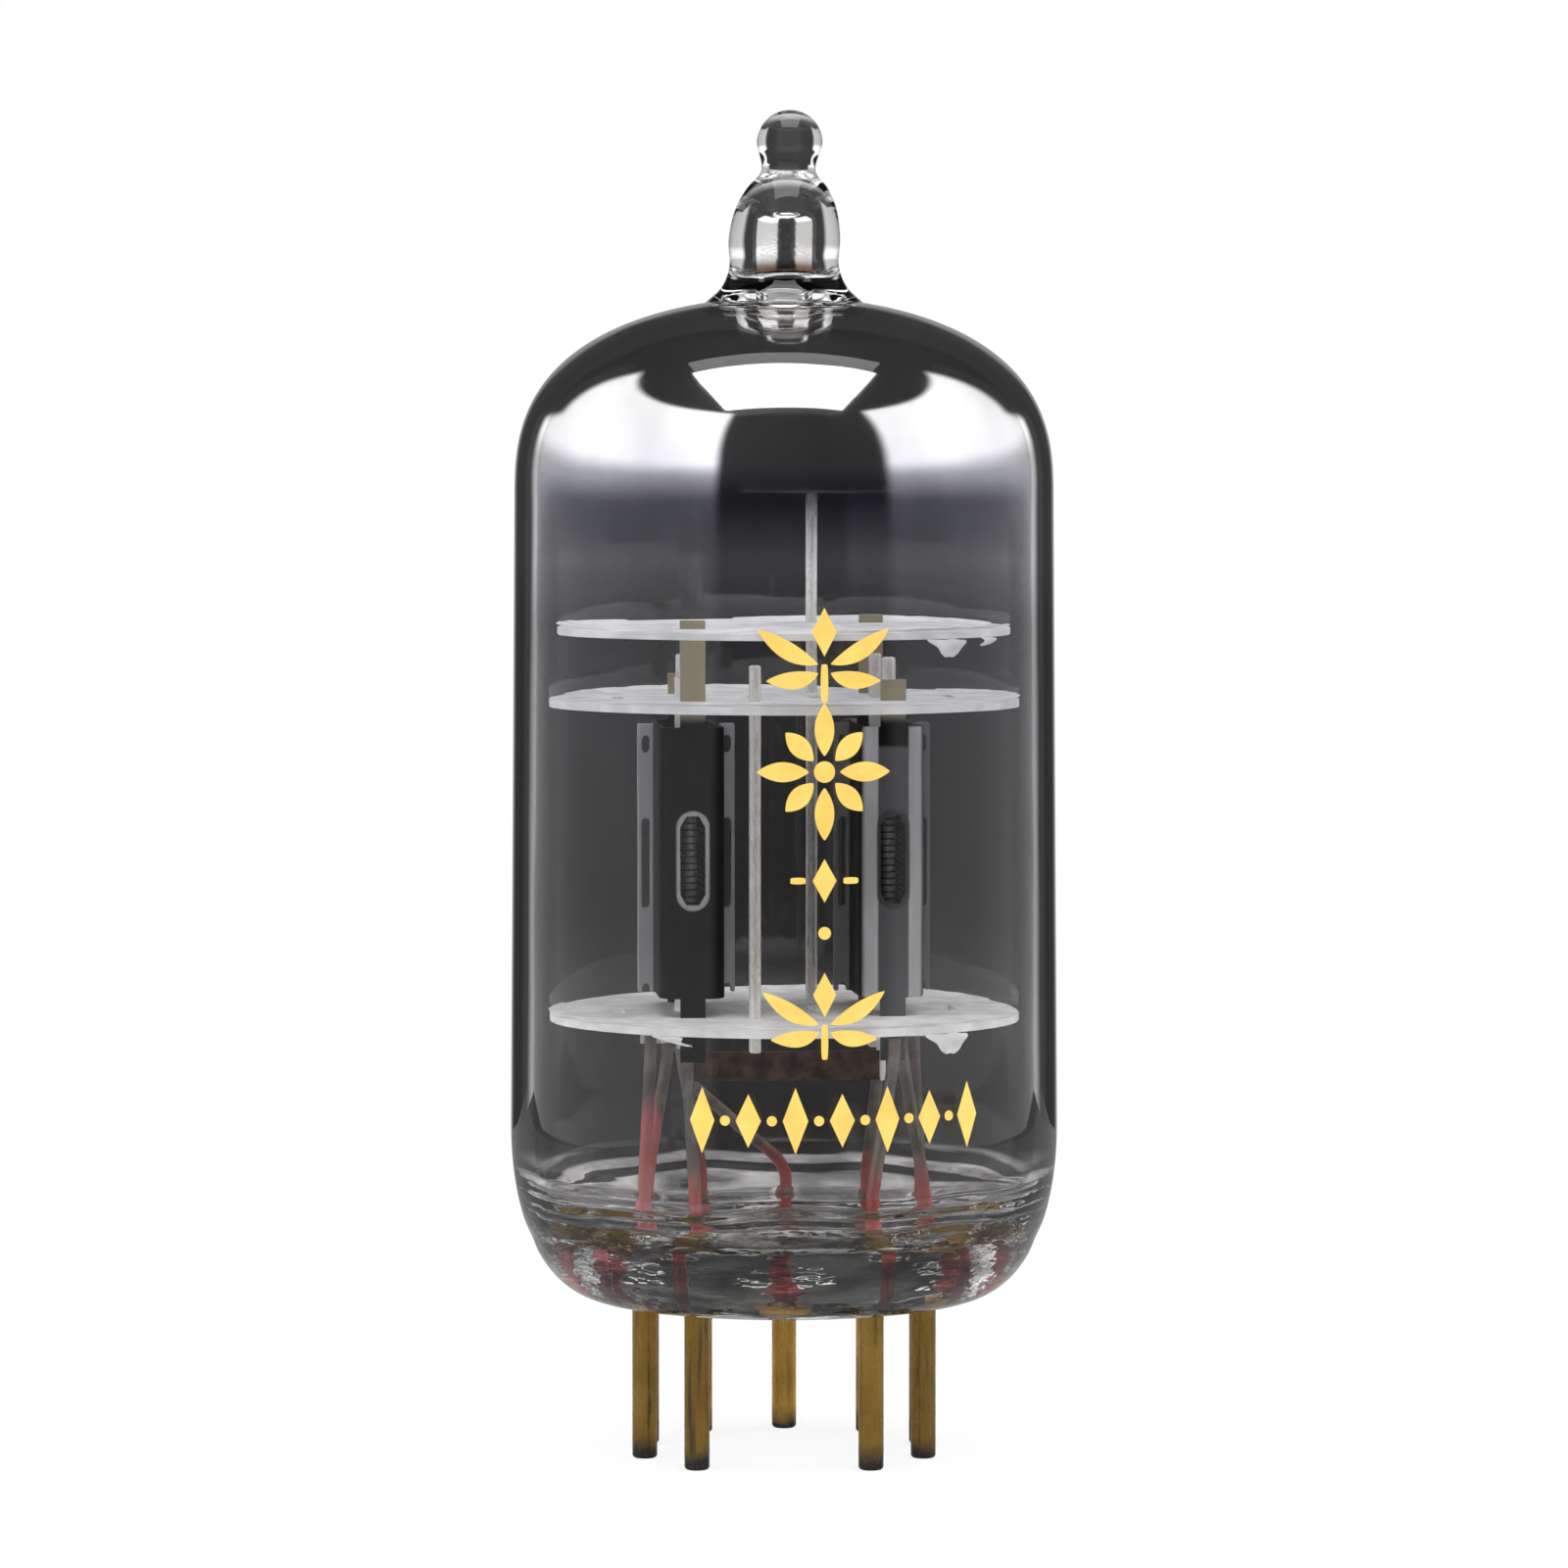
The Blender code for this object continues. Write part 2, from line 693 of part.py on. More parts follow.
def heater_leg(index):
    """How far along Y a leg of the heater stands from the middle of its sleeve."""
    return (index - (HEATER_LEGS - 1) / 2) * HEATER_PITCH


def ribbon_start():
    """How far the ribbon's middle lies from the sleeve's middle, where it is welded on."""
    return CATHODE_HALF_WIDTH + SEAT_GAP + RIBBON_SHEET / 2


def anode_path():
    """Middle line of the front half shell: wing, side, end wall, side, wing."""
    crimp = -(SEAT_GAP + ANODE_SHEET) / 2
    side = ANODE_HALF_WIDTH - ANODE_SHEET / 2
    end = ANODE_HALF_DEPTH - ANODE_SHEET / 2
    corner = ANODE_CORNER_RADIUS
    path = [(-WING_REACH, crimp), (-side, crimp)]
    for step in range(ANODE_CORNER_STEPS):
        turn = math.pi / 2 * step / (ANODE_CORNER_STEPS - 1)
        path.append(
            (-side + corner * (1 - math.cos(turn)), -end + corner * (1 - math.sin(turn)))
        )
    path.append((-ANODE_TAB_WIDTH / 2, -end))
    return path + [(-across, along) for across, along in path[::-1]]


def anode_cutters(name, across_wing):
    """The window in the end wall, and a long slot, a hole and a notch in each wing."""
    window_z = ANODE_TOP_Z - WINDOW_DROP - WINDOW_HEIGHT / 2
    slot_z = ANODE_TOP_Z - WING_SLOT_DROP - WINDOW_HEIGHT / 2
    hole_z = ANODE_TOP_Z - WING_HOLE_DROP - WING_HOLE_HEIGHT / 2
    deep = 4 * ANODE_SHEET
    slim = WING_SLOT_WIDTH / 2
    shapes = [
        slot_prism((0.0, -ANODE_HALF_DEPTH, window_z), WINDOW_WIDTH / 2, WINDOW_HEIGHT / 2, deep)
    ]
    for side in (-1, 1):
        wing = side * across_wing
        shapes.append(slot_prism((wing, 0.0, slot_z), slim, WINDOW_HEIGHT / 2, deep))
        shapes.append(slot_prism((wing, 0.0, hole_z), slim, WING_HOLE_HEIGHT / 2, deep))
        shapes.append(slot_prism((wing, 0.0, ANODE_BOTTOM_Z), slim, WING_HOLE_HEIGHT / 2, deep))
    return joined_mesh(name, shapes)


def add_anode_half(name, triode, carbon, is_rear, tab_height):
    """One half shell with its tabs; the rear one is the front one turned about the middle."""
    path = anode_path()
    rows = [TAIL_Z, ANODE_BOTTOM_Z, ANODE_TOP_Z, ANODE_TOP_Z + tab_height]
    tab_column = len(path) // 2 - 1
    mesh = folded_sheet(
        name, path, ANODE_SHEET, rows, lambda column, row: row == 1 or column == tab_column
    )
    cutters = anode_cutters(name + "_cutters", (ANODE_HALF_WIDTH + WING_REACH) / 2)
    if is_rear:
        mesh.transform(Matrix.Rotation(math.pi, 4, "Z"))
        cutters.transform(Matrix.Rotation(math.pi, 4, "Z"))
    half = place(name, mesh, carbon, triode)
    add_boolean(half, cutters, "DIFFERENCE")


def add_grid(side, triode, nickel, wire):
    """Two side rods and the wire wound round them, flat where it faces the cathode."""
    bottom, top = TAIL_Z, UPPER_MICA_TOP_Z + GRID_ROD_RISE
    outline = [
        (0.0, bottom),
        (GRID_ROD_RADIUS, bottom),
        (GRID_ROD_RADIUS, top - GRID_ROD_RADIUS / 2),
        (GRID_ROD_RADIUS / 2, top),
        (0.0, top),
    ]
    rod = turned_mesh("grid_rod", outline, GRID_ROD_SEGMENTS)
    for place_name, along in (("front", -GRID_ROD_OFFSET), ("rear", GRID_ROD_OFFSET)):
        name = f"grid_{side}_rod_{place_name}"
        place(name, rod, nickel, triode, (0.0, along, 0.0))
    clear = GRID_ROD_RADIUS + GRID_WIRE_RADIUS + SEAT_GAP
    reach = GRID_ROD_OFFSET + GRID_END_BULGE * clear
    steps = GRID_TURNS * GRID_STEPS_PER_TURN
    low, high = ANODE_BOTTOM_Z + GRID_MARGIN, ANODE_TOP_Z - GRID_MARGIN
    route = []
    for step in range(steps + 1):
        turn = math.tau * step / GRID_STEPS_PER_TURN
        across, along = math.cos(turn), math.sin(turn)
        route.append(
            (
                GRID_HALF_WIDTH * math.copysign(abs(across) ** (2 / GRID_FLATNESS), across),
                reach * math.copysign(abs(along) ** (2 / GRID_FLATNESS), along),
                low + (high - low) * step / steps,
            )
        )
    name = f"grid_{side}_winding"
    place(name, wire_curve(name, route, GRID_WIRE_RADIUS, 0), wire, triode)


def add_cathode(side, triode, oxide, nickel):
    """The coated sleeve, open at both ends, and the ribbon from it to its lead."""
    bottom = LOWER_MICA_Z - CATHODE_DROP
    height = UPPER_MICA_TOP_Z + CATHODE_RISE - bottom
    outside = oblong_points((0.0, 0.0), CATHODE_HALF_WIDTH, CATHODE_HALF_DEPTH)
    inside = oblong_points(
        (0.0, 0.0), CATHODE_HALF_WIDTH - CATHODE_WALL, CATHODE_HALF_DEPTH - CATHODE_WALL
    )
    name = f"cathode_{side}"
    place(name, plate_curve(name, outside, [inside], bottom, height), oxide, triode)
    start = ribbon_start()
    flat = (CATHODE_HALF_DEPTH - CATHODE_HALF_WIDTH) / 2
    path = [
        (-start, flat),
        (-start, -flat),
        (-start - RIBBON_SPREAD, -CATHODE_HALF_DEPTH),
        (-start - RIBBON_SPREAD - RIBBON_REACH, -CATHODE_HALF_DEPTH),
    ]
    name = f"cathode_ribbon_{side}"
    rows = [bottom + SEAT_GAP, bottom + SEAT_GAP + RIBBON_HEIGHT]
    place(name, folded_sheet(name, path, RIBBON_SHEET, rows), nickel, triode)


def add_heater(side, triode, ceramic):
    """A coated wire folded up and down inside the sleeve, both tails at the bottom."""
    fold = HEATER_PITCH / 2
    high = UPPER_MICA_TOP_Z + CATHODE_RISE - HEATER_INSET
    low = LOWER_MICA_Z - CATHODE_DROP + HEATER_INSET
    route = [(0.0, heater_leg(0), HEATER_TAIL_Z)]
    for leg in range(HEATER_LEGS - 1):
        level, way = (high, 1) if leg % 2 == 0 else (low, -1)
        middle = heater_leg(leg) + fold
        for step in range(5):
            turn = math.pi * step / 4
            route.append(
                (0.0, middle - fold * math.cos(turn), level + way * fold * (math.sin(turn) - 1))
            )
    route.append((0.0, heater_leg(HEATER_LEGS - 1), HEATER_TAIL_Z))
    name = f"heater_{side}"
    place(name, wire_curve(name, route, HEATER_RADIUS), ceramic, triode)


def add_triode(side, cage, paints):
    """Everything of one triode; the right one is the left one turned half round."""
    is_right = side == "right"
    triode = place_empty(
        f"triode_{side}",
        cage,
        (TRIODE_OFFSET if is_right else -TRIODE_OFFSET, 0.0, 0.0),
        math.pi if is_right else 0.0,
    )
    near, far = ("rear", "front") if is_right else ("front", "rear")
    carbon = paints["carbon"]
    add_anode_half(f"anode_{side}_{near}", triode, carbon, False, TALL_TAB_HEIGHT)
    add_anode_half(f"anode_{side}_{far}", triode, carbon, True, SHORT_TAB_HEIGHT)
    add_grid(side, triode, paints["nickel"], paints["wire"])
    add_cathode(side, triode, paints["oxide"], paints["nickel"])
    add_heater(side, triode, paints["ceramic"])


# Cage


def tab_holes(centre, sides):
    """Slots for the anode tabs of one triode, at the ends named by their sign along Y."""
    along = ANODE_HALF_DEPTH - ANODE_SHEET / 2
    return [
        box_points(
            (centre, side * along),
            ANODE_TAB_WIDTH / 2 + HOLE_GAP,
            ANODE_SHEET / 2 + HOLE_GAP,
        )
        for side in sides
    ]


def post_holes(sides):
    """Holes for the support rod (-1) and the getter post (1)."""
    return [
        ring_points((side * POST_X, side * POST_Y), POST_RADIUS, POST_SEGMENTS, HOLE_GAP) for side in sides
    ]


def electrode_holes():
    """Holes of a mica that holds the electrodes, with the slits that lengthen the leakage path."""
    holes = post_holes((-1, 1))
    for centre in (-TRIODE_OFFSET, TRIODE_OFFSET):
        holes += tab_holes(centre, (-1, 1))
        holes.append(
            oblong_points(
                (centre, 0.0), CATHODE_HALF_WIDTH + HOLE_GAP, CATHODE_HALF_DEPTH + HOLE_GAP
            )
        )
        for side in (-1, 1):
            rod = (centre, side * GRID_ROD_OFFSET)
            holes.append(ring_points(rod, GRID_ROD_RADIUS, GRID_ROD_SEGMENTS, HOLE_GAP))
            slit = (centre + side * SLIT_OFFSET, 0.0)
            holes.append(box_points(slit, SLIT_WIDTH / 2, SLIT_LENGTH / 2))
    return holes


def add_micas(cage, mica):
    """Two discs that hold the electrodes, and one above that shields them from the getter."""
    top_holes = post_holes((1,))
    top_holes += tab_holes(-TRIODE_OFFSET, (-1,)) + tab_holes(TRIODE_OFFSET, (1,))
    for name, gap, bottom, holes in (
        ("mica_lower", MICA_GLASS_GAP, LOWER_MICA_Z, electrode_holes()),
        ("mica_upper", MICA_GLASS_GAP, UPPER_MICA_Z, electrode_holes()),
        ("mica_top", TOP_MICA_GLASS_GAP, TOP_MICA_Z, top_holes),
    ):
        outline = ring_points((0.0, 0.0), NARROWEST_BORE - gap, MICA_SEGMENTS)
        disc = plate_curve(name, outline, holes, bottom, MICA_THICKNESS)
        place(name, disc, mica, cage)


def add_posts(cage, nickel):
    """The bright support rod in front, and the taller post behind that carries the getter."""
    low = LOWER_MICA_Z - POST_DROP
    for name, side, high in (
        ("support_rod", -1, UPPER_MICA_TOP_Z + SUPPORT_RISE),
        ("getter_post", 1, getter_bottom_z() - SEAT_GAP),
    ):
        outline = [(0.0, low), (POST_RADIUS, low), (POST_RADIUS, high), (0.0, high)]
        mesh = turned_mesh(name, outline, POST_SEGMENTS)
        place(name, mesh, nickel, cage, (side * POST_X, side * POST_Y, 0.0))


def getter_bottom_z():
    """Underside of the getter ring."""
    return TOP_MICA_TOP_Z + GETTER_RISE


def add_getter(cage, steel):
    """The ring-shaped channel that held the getter metal, open upwards."""
    inner, outer = GETTER_RADIUS - GETTER_WIDTH / 2, GETTER_RADIUS + GETTER_WIDTH / 2
    low = getter_bottom_z()
    high = low + GETTER_DEPTH
    outline = [
        (inner, low),
        (outer, low),
        (outer, high),
        (outer - GETTER_SHEET, high),
        (outer - GETTER_SHEET, low + GETTER_SHEET),
        (inner + GETTER_SHEET, low + GETTER_SHEET),
        (inner + GETTER_SHEET, high),
        (inner, high),
    ]
    mesh = turned_mesh("getter_ring", outline, GETTER_SEGMENTS)
    place("getter_ring", mesh, steel, cage, (POST_X, POST_Y - GETTER_RADIUS, 0.0))


def add_heater_link(cage, nickel):
    """The strip that joins the two heaters at their centre tap."""
    along = heater_leg(0)
    end = TRIODE_OFFSET - HEATER_RADIUS - SEAT_GAP
    low = HEATER_TAIL_Z + SEAT_GAP
    rows = [low, low + LINK_HEIGHT]
    mesh = folded_sheet("heater_link", [(-end, along), (end, along)], RIBBON_SHEET, rows)
    place("heater_link", mesh, nickel, cage)


def main():
    """Build the whole tube."""
    clear_scene()
    glass = make_material("glass", (0.9, 0.9, 0.92), 0.02, transmission=1.0)
    paints = {
        "carbon": make_material("carbonised_nickel", (0.03, 0.028, 0.032), 0.55, 0.3),
        "nickel": make_material("nickel", (0.55, 0.53, 0.5), 0.3, 1.0),
        "wire": make_material("grid_wire", (0.45, 0.4, 0.33), 0.35, 1.0),
        "oxide": make_material("cathode_oxide", (0.8, 0.79, 0.75), 0.9),
        "ceramic": make_material("heater_coating", (0.75, 0.75, 0.72), 0.9),
    }
    add_bulb(glass)
    add_stem(glass)
    add_flash(make_material("getter_silver", (0.8, 0.8, 0.8), 0.06, 1.0))
    add_pins(make_material("gold_plate", (0.5, 0.34, 0.1), 0.32, 1.0))
    add_leads(make_material("copper_clad", (0.5, 0.12, 0.08), 0.35, 1.0))
    cage = place_empty("cage", turn=CAGE_TURN)
    add_micas(cage, make_material("mica", (0.62, 0.62, 0.6), 0.35))
    add_posts(cage, paints["nickel"])
    add_getter(cage, make_material("getter_steel", (0.3, 0.29, 0.28), 0.4, 1.0))
    add_heater_link(cage, paints["nickel"])
    add_triode("left", cage, paints)
    add_triode("right", cage, paints)


if __name__ == "__main__":
    main()
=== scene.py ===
"""Looks of a double triode tube: clear glass with painted shade, a getter mirror, dark anodes and gold
pins.

Lengths are in metres and heights are above the pin ends. The wide gap between the pins faces -Y,
where the camera stands.
"""

import logging
import math
from collections.abc import Sequence
from dataclasses import dataclass, field, replace
from enum import Enum
from typing import Any

import bmesh
import bpy
import numpy as np
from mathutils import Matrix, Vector


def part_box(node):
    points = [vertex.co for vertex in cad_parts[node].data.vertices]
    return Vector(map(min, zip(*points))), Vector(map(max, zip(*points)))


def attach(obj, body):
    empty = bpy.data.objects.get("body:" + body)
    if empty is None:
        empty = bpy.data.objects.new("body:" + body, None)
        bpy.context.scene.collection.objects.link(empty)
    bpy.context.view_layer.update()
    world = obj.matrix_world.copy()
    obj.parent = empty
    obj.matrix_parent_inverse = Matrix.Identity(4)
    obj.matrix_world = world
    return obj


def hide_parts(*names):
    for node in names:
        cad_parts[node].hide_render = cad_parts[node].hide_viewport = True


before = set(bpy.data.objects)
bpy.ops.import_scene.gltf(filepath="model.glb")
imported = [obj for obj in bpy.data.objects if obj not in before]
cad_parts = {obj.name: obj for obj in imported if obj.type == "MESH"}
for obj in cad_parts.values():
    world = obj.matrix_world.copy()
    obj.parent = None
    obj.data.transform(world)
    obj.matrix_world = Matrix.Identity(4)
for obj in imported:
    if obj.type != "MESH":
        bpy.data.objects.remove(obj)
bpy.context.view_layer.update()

MM = 0.001
CAGE_TURN = math.radians(6.0)
Colour = tuple[float, float, float]
Place = tuple[float, float, float]
log = logging.getLogger("tube")


class Slot(Enum):
    """The record's material slots."""

    GLASS = "glass"
    FLASH = "flash"
    GOLD = "gold"
    COPPER = "copper"
    MICA = "mica"
    CARBON = "carbon"
    NICKEL = "nickel"
    GRID_WIRE = "grid_wire"
    OXIDE = "oxide"
    CERAMIC = "ceramic"
    GETTER_STEEL = "getter_steel"


class Ray(Enum):
    """The kinds of ray that a material can tell apart."""

    CAMERA = "Is Camera Ray"
    SHADOW = "Is Shadow Ray"
    DIFFUSE = "Is Diffuse Ray"
    GLOSSY = "Is Glossy Ray"
    TRANSMISSION = "Is Transmission Ray"


class Side(Enum):
    """The two triodes, by the sign of their place along the cage's X."""

    LEFT = -1
    RIGHT = 1


# Node trees


class Sketch:
    """A node tree that is being filled, with short ways to add nodes and join them."""

    def __init__(self, tree: bpy.types.NodeTree) -> None:
        """Take the tree to fill.

        Args:
            tree: The node tree of a material, a world or a group.
        """
        self.tree = tree

    def add(self, kind: str, **settings: Any) -> bpy.types.Node:
        """Add a node.

        Args:
            kind: The node's type name.
            settings: Properties to set on it.

        Returns:
            The new node.
        """
        node = self.tree.nodes.new(kind)
        for name, value in settings.items():
            setattr(node, name, value)
        return node

    def put(self, socket: bpy.types.NodeSocket, value: Any) -> None:
        """Join an output to a socket, or set a constant on it.

        Args:
            socket: The input socket.
            value: An output socket, a number, or a colour of three numbers.
        """
        if isinstance(value, bpy.types.NodeSocket):
            self.tree.links.new(value, socket)
        elif socket.type == "RGBA":
            socket.default_value = (*value[:3], 1.0)
        else:
            socket.default_value = value

    def calc(self, operation: str, *values: Any, clamp: bool = False) -> bpy.types.NodeSocket:
        """A Math node.

        Args:
            operation: Its operation.
            values: Its inputs, each a socket or a number.
            clamp: Whether the result is held between 0 and 1.

        Returns:
            Its result.
        """
        node = self.add("ShaderNodeMath", operation=operation, use_clamp=clamp)
        for socket, value in zip(node.inputs, values):
            self.put(socket, value)
        return node.outputs[0]

    def span(self, value: Any, low: float, high: float, start: float = 0.0, end: float = 1.0) -> Any:
        """A smooth step from start at low to end at high.

        Args:
            value: The socket to read.
            low: Where the step begins.
            high: Where it ends.
            start: The result at low and before it.
            end: The result at high and past it.

        Returns:
            The result socket.
        """
        node = self.add("ShaderNodeMapRange", interpolation_type="SMOOTHSTEP")
        for name, number in (("From Min", low), ("From Max", high), ("To Min", start), ("To Max", end)):
            node.inputs[name].default_value = number
        self.put(node.inputs["Value"], value)
        return node.outputs["Result"]

    def blend(self, factor: Any, one: Any, other: Any, way: str = "MIX") -> bpy.types.NodeSocket:
        """A colour mix.

        Args:
            factor: 0 gives one and 1 gives other.
            one: A colour or a socket.
            other: A colour or a socket.
            way: The blend type.

        Returns:
            The mixed colour.
        """
        node = self.add("ShaderNodeMix", data_type="RGBA", blend_type=way)
        self.put(node.inputs[0], factor)
        self.put(node.inputs[6], one)
        self.put(node.inputs[7], other)
        return node.outputs[2]

    def ramp(self, factor: Any, stops: Sequence[tuple[float, Colour]]) -> bpy.types.NodeSocket:
        """A colour ramp.

        Args:
            factor: The socket to read, from 0 to 1.
            stops: Places and colours, in order.

        Returns:
            The colour.
        """
        node = self.add("ShaderNodeValToRGB")
        elements = node.color_ramp.elements
        for index, (place, colour) in enumerate(stops):
            element = elements[index] if index < 2 else elements.new(place)
            element.position = place
            element.color = (*colour, 1.0)
        self.put(node.inputs[0], factor)
        return node.outputs[0]

    def noise(self, vector: Any, scale: float, detail: float = 2.0, stretch: Place = (1, 1, 1)) -> Any:
        """Cloudy noise around 0.5.

        Args:
            vector: The coordinates.
            scale: Clouds to the metre.
            detail: Octaves of finer clouds.
            stretch: A factor on each coordinate; less than 1 draws the clouds out along it.

        Returns:
            The noise value.
        """
        mapping = self.add("ShaderNodeMapping")
        mapping.inputs["Scale"].default_value = stretch
        self.put(mapping.inputs["Vector"], vector)
        node = self.add("ShaderNodeTexNoise")
        node.inputs["Scale"].default_value = scale
        node.inputs["Detail"].default_value = detail
        self.put(node.inputs["Vector"], mapping.outputs[0])
        return node.outputs[0]

    def place(self) -> bpy.types.NodeSocket:
        """Object coordinates, which are metres in the tube's frame."""
        return self.add("ShaderNodeTexCoord").outputs["Object"]

    def split(self, vector: Any) -> tuple[Any, Any, Any]:
        """The three parts of a vector.

        Args:
            vector: The vector socket.

        Returns:
            Its X, Y and Z.
        """
        node = self.add("ShaderNodeSeparateXYZ")
        self.put(node.inputs[0], vector)
        return node.outputs[0], node.outputs[1], node.outputs[2]

    def share(self, value: Any, start: Any, reach: Any) -> bpy.types.NodeSocket:
        """How far a value has come along a reach, held between 0 and 1.

        Args:
            value: The value.
            start: Where the reach starts.
            reach: Its length.

        Returns:
            The share.
        """
        return self.calc("DIVIDE", self.calc("SUBTRACT", value, start), reach, clamp=True)

    def scaled(self, colour: Any, value: Any) -> bpy.types.NodeSocket:
        """A colour times a value.

        Args:
            colour: The colour.
            value: The value socket.

        Returns:
            The product.
        """
        grey = self.add("ShaderNodeCombineXYZ")
        for socket in grey.inputs:
            self.put(socket, value)
        return self.blend(1.0, colour, grey.outputs[0], "MULTIPLY")

    def rays(self, *kinds: Ray) -> bpy.types.NodeSocket:
        """1 for rays of any of the kinds, and 0 for others.

        Args:
            kinds: The kinds of ray.

        Returns:
            The mask.
        """
        path = self.add("ShaderNodeLightPath")
        mask = path.outputs[kinds[0].value]
        for kind in kinds[1:]:
            mask = self.calc("MAXIMUM", mask, path.outputs[kind.value])
        return mask

    def use(self, group: bpy.types.NodeTree, **values: Any) -> bpy.types.Node:
        """Place a node group with its own values.

        Args:
            group: The group.
            values: Its inputs by name.

        Returns:
            The group node.
        """
        node = self.add("ShaderNodeGroup", node_tree=group)
        for name, value in values.items():
            self.put(node.inputs[name], value)
        return node


class Effects:
    """Node groups that several finishes share, each built once."""

    def __init__(self) -> None:
        """Build the groups."""
        self.clouds = self._clouds()
        self.grain = self._grain()
        self.edge_fade = self._edge_fade()

    @staticmethod
    def _group(name: str, inputs: dict[str, str], outputs: dict[str, str]) -> tuple[Any, Any, Any]:
        """Start a group.

        Args:
            name: The group's name.
            inputs: Socket types by name.
            outputs: Socket types by name.

        Returns:
            The sketch of its tree, its input node and its output node.
        """
        tree = bpy.data.node_groups.new(name, "ShaderNodeTree")
        for label, kind in inputs.items():
            tree.interface.new_socket(name=label, in_out="INPUT", socket_type=kind)
        for label, kind in outputs.items():
            tree.interface.new_socket(name=label, in_out="OUTPUT", socket_type=kind)
        sketch = Sketch(tree)
        return sketch, sketch.add("NodeGroupInput"), sketch.add("NodeGroupOutput")

    def _clouds(self) -> bpy.types.NodeTree:
        """Two colours that mingle in soft clouds, as handling and heat leave them.

        Returns:
            The group.
        """
        sketch, given, result = self._group(
            "mingled tone",
            {
                "Vector": "NodeSocketVector",
                "Scale": "NodeSocketFloat",
                "One": "NodeSocketColor",
                "Other": "NodeSocketColor",
            },
            {"Color": "NodeSocketColor"},
        )
        cloud = sketch.add("ShaderNodeTexNoise")
        cloud.inputs["Detail"].default_value = 4.0
        sketch.put(cloud.inputs["Vector"], given.outputs["Vector"])
        sketch.put(cloud.inputs["Scale"], given.outputs["Scale"])
        mask = sketch.span(cloud.outputs[0], 0.32, 0.68)
        colour = sketch.blend(mask, given.outputs["One"], given.outputs["Other"])
        sketch.put(result.inputs["Color"], colour)
        return sketch.tree

    def _grain(self) -> bpy.types.NodeTree:
        """A fine uneven surface.

        Returns:
            The group.
        """
        sketch, given, result = self._group(
            "fine grain",
            {"Vector": "NodeSocketVector", "Scale": "NodeSocketFloat", "Depth": "NodeSocketFloat"},
            {"Normal": "NodeSocketVector", "Value": "NodeSocketFloat"},
        )
        speckle = sketch.add("ShaderNodeTexNoise")
        speckle.inputs["Detail"].default_value = 3.0
        sketch.put(speckle.inputs["Vector"], given.outputs["Vector"])
        sketch.put(speckle.inputs["Scale"], given.outputs["Scale"])
        bump = sketch.add("ShaderNodeBump")
        bump.inputs["Distance"].default_value = 0.02 * MM
        sketch.put(bump.inputs["Strength"], given.outputs["Depth"])
        sketch.put(bump.inputs["Height"], speckle.outputs[0])
        sketch.put(result.inputs["Normal"], bump.outputs[0])
        sketch.put(result.inputs["Value"], speckle.outputs[0])
        return sketch.tree

    def _edge_fade(self) -> bpy.types.NodeTree:
        """A mask that falls from 1 below one height to 0 above another, with a ragged edge.

        Returns:
            The group.
        """
        sketch, given, result = self._group(
            "ragged fade",
            {
                "Vector": "NodeSocketVector",
                "Full": "NodeSocketFloat",
                "None": "NodeSocketFloat",
                "Ragged": "NodeSocketFloat",
            },
            {"Mask": "NodeSocketFloat"},
        )
        _, _, height = sketch.split(given.outputs["Vector"])
        cloud = sketch.noise(given.outputs["Vector"], 900.0, 3.0)
        shift = sketch.calc("MULTIPLY", sketch.calc("SUBTRACT", cloud, 0.5), given.outputs["Ragged"])
        level = sketch.calc("ADD", height, shift)
        reach = sketch.calc("SUBTRACT", given.outputs["None"], given.outputs["Full"])
        share = sketch.share(level, given.outputs["Full"], reach)
        sketch.put(result.inputs["Mask"], sketch.calc("SUBTRACT", 1.0, share))
        return sketch.tree


effects = Effects()


# Finishes


@dataclass(frozen=True)
class Finish:
    """A finish that is built once as a material.

    Attributes:
        name: The material's name.
        roughness: Roughness of the surface.
    """

    name: str
    roughness: float

    def material(self) -> bpy.types.Material:
        """The finish's material, built at first use.

        Returns:
            The material.
        """
        found = bpy.data.materials.get(self.name)
        if found is not None:
            return found
        material = bpy.data.materials.new(self.name)
        material.use_nodes = True
        sketch = Sketch(material.node_tree)
        shader = material.node_tree.nodes["Principled BSDF"]
        shader.inputs["Roughness"].default_value = self.roughness
        self.paint(sketch, shader)
        return material

    def paint(self, sketch: Sketch, shader: bpy.types.Node) -> None:
        """Fill the material's nodes.

        Args:
            sketch: The material's tree.
            shader: Its Principled BSDF.
        """
        raise NotImplementedError

    @staticmethod
    def let_light_through(
        sketch: Sketch, shader: bpy.types.Node, tint: Colour, share: float = 1.0
    ) -> None:
        """Let lamps and diffuse light straight through, so that what is inside is lit.

        Args:
            sketch: The material's tree.
            shader: The shader that the camera sees.
            tint: The colour that the light takes on.
            share: How much of it gets through.
        """
        clear = sketch.add("ShaderNodeBsdfTransparent")
        clear.inputs["Color"].default_value = (*tint, 1.0)
        mix = sketch.add("ShaderNodeMixShader")
        through = sketch.rays(Ray.SHADOW, Ray.DIFFUSE)
        if share < 1.0:
            through = sketch.calc("MULTIPLY", through, share)
        sketch.put(mix.inputs[0], through)
        sketch.put(mix.inputs[1], shader.outputs[0])
        sketch.put(mix.inputs[2], clear.outputs[0])
        sketch.put(sketch.tree.nodes["Material Output"].inputs["Surface"], mix.outputs[0])


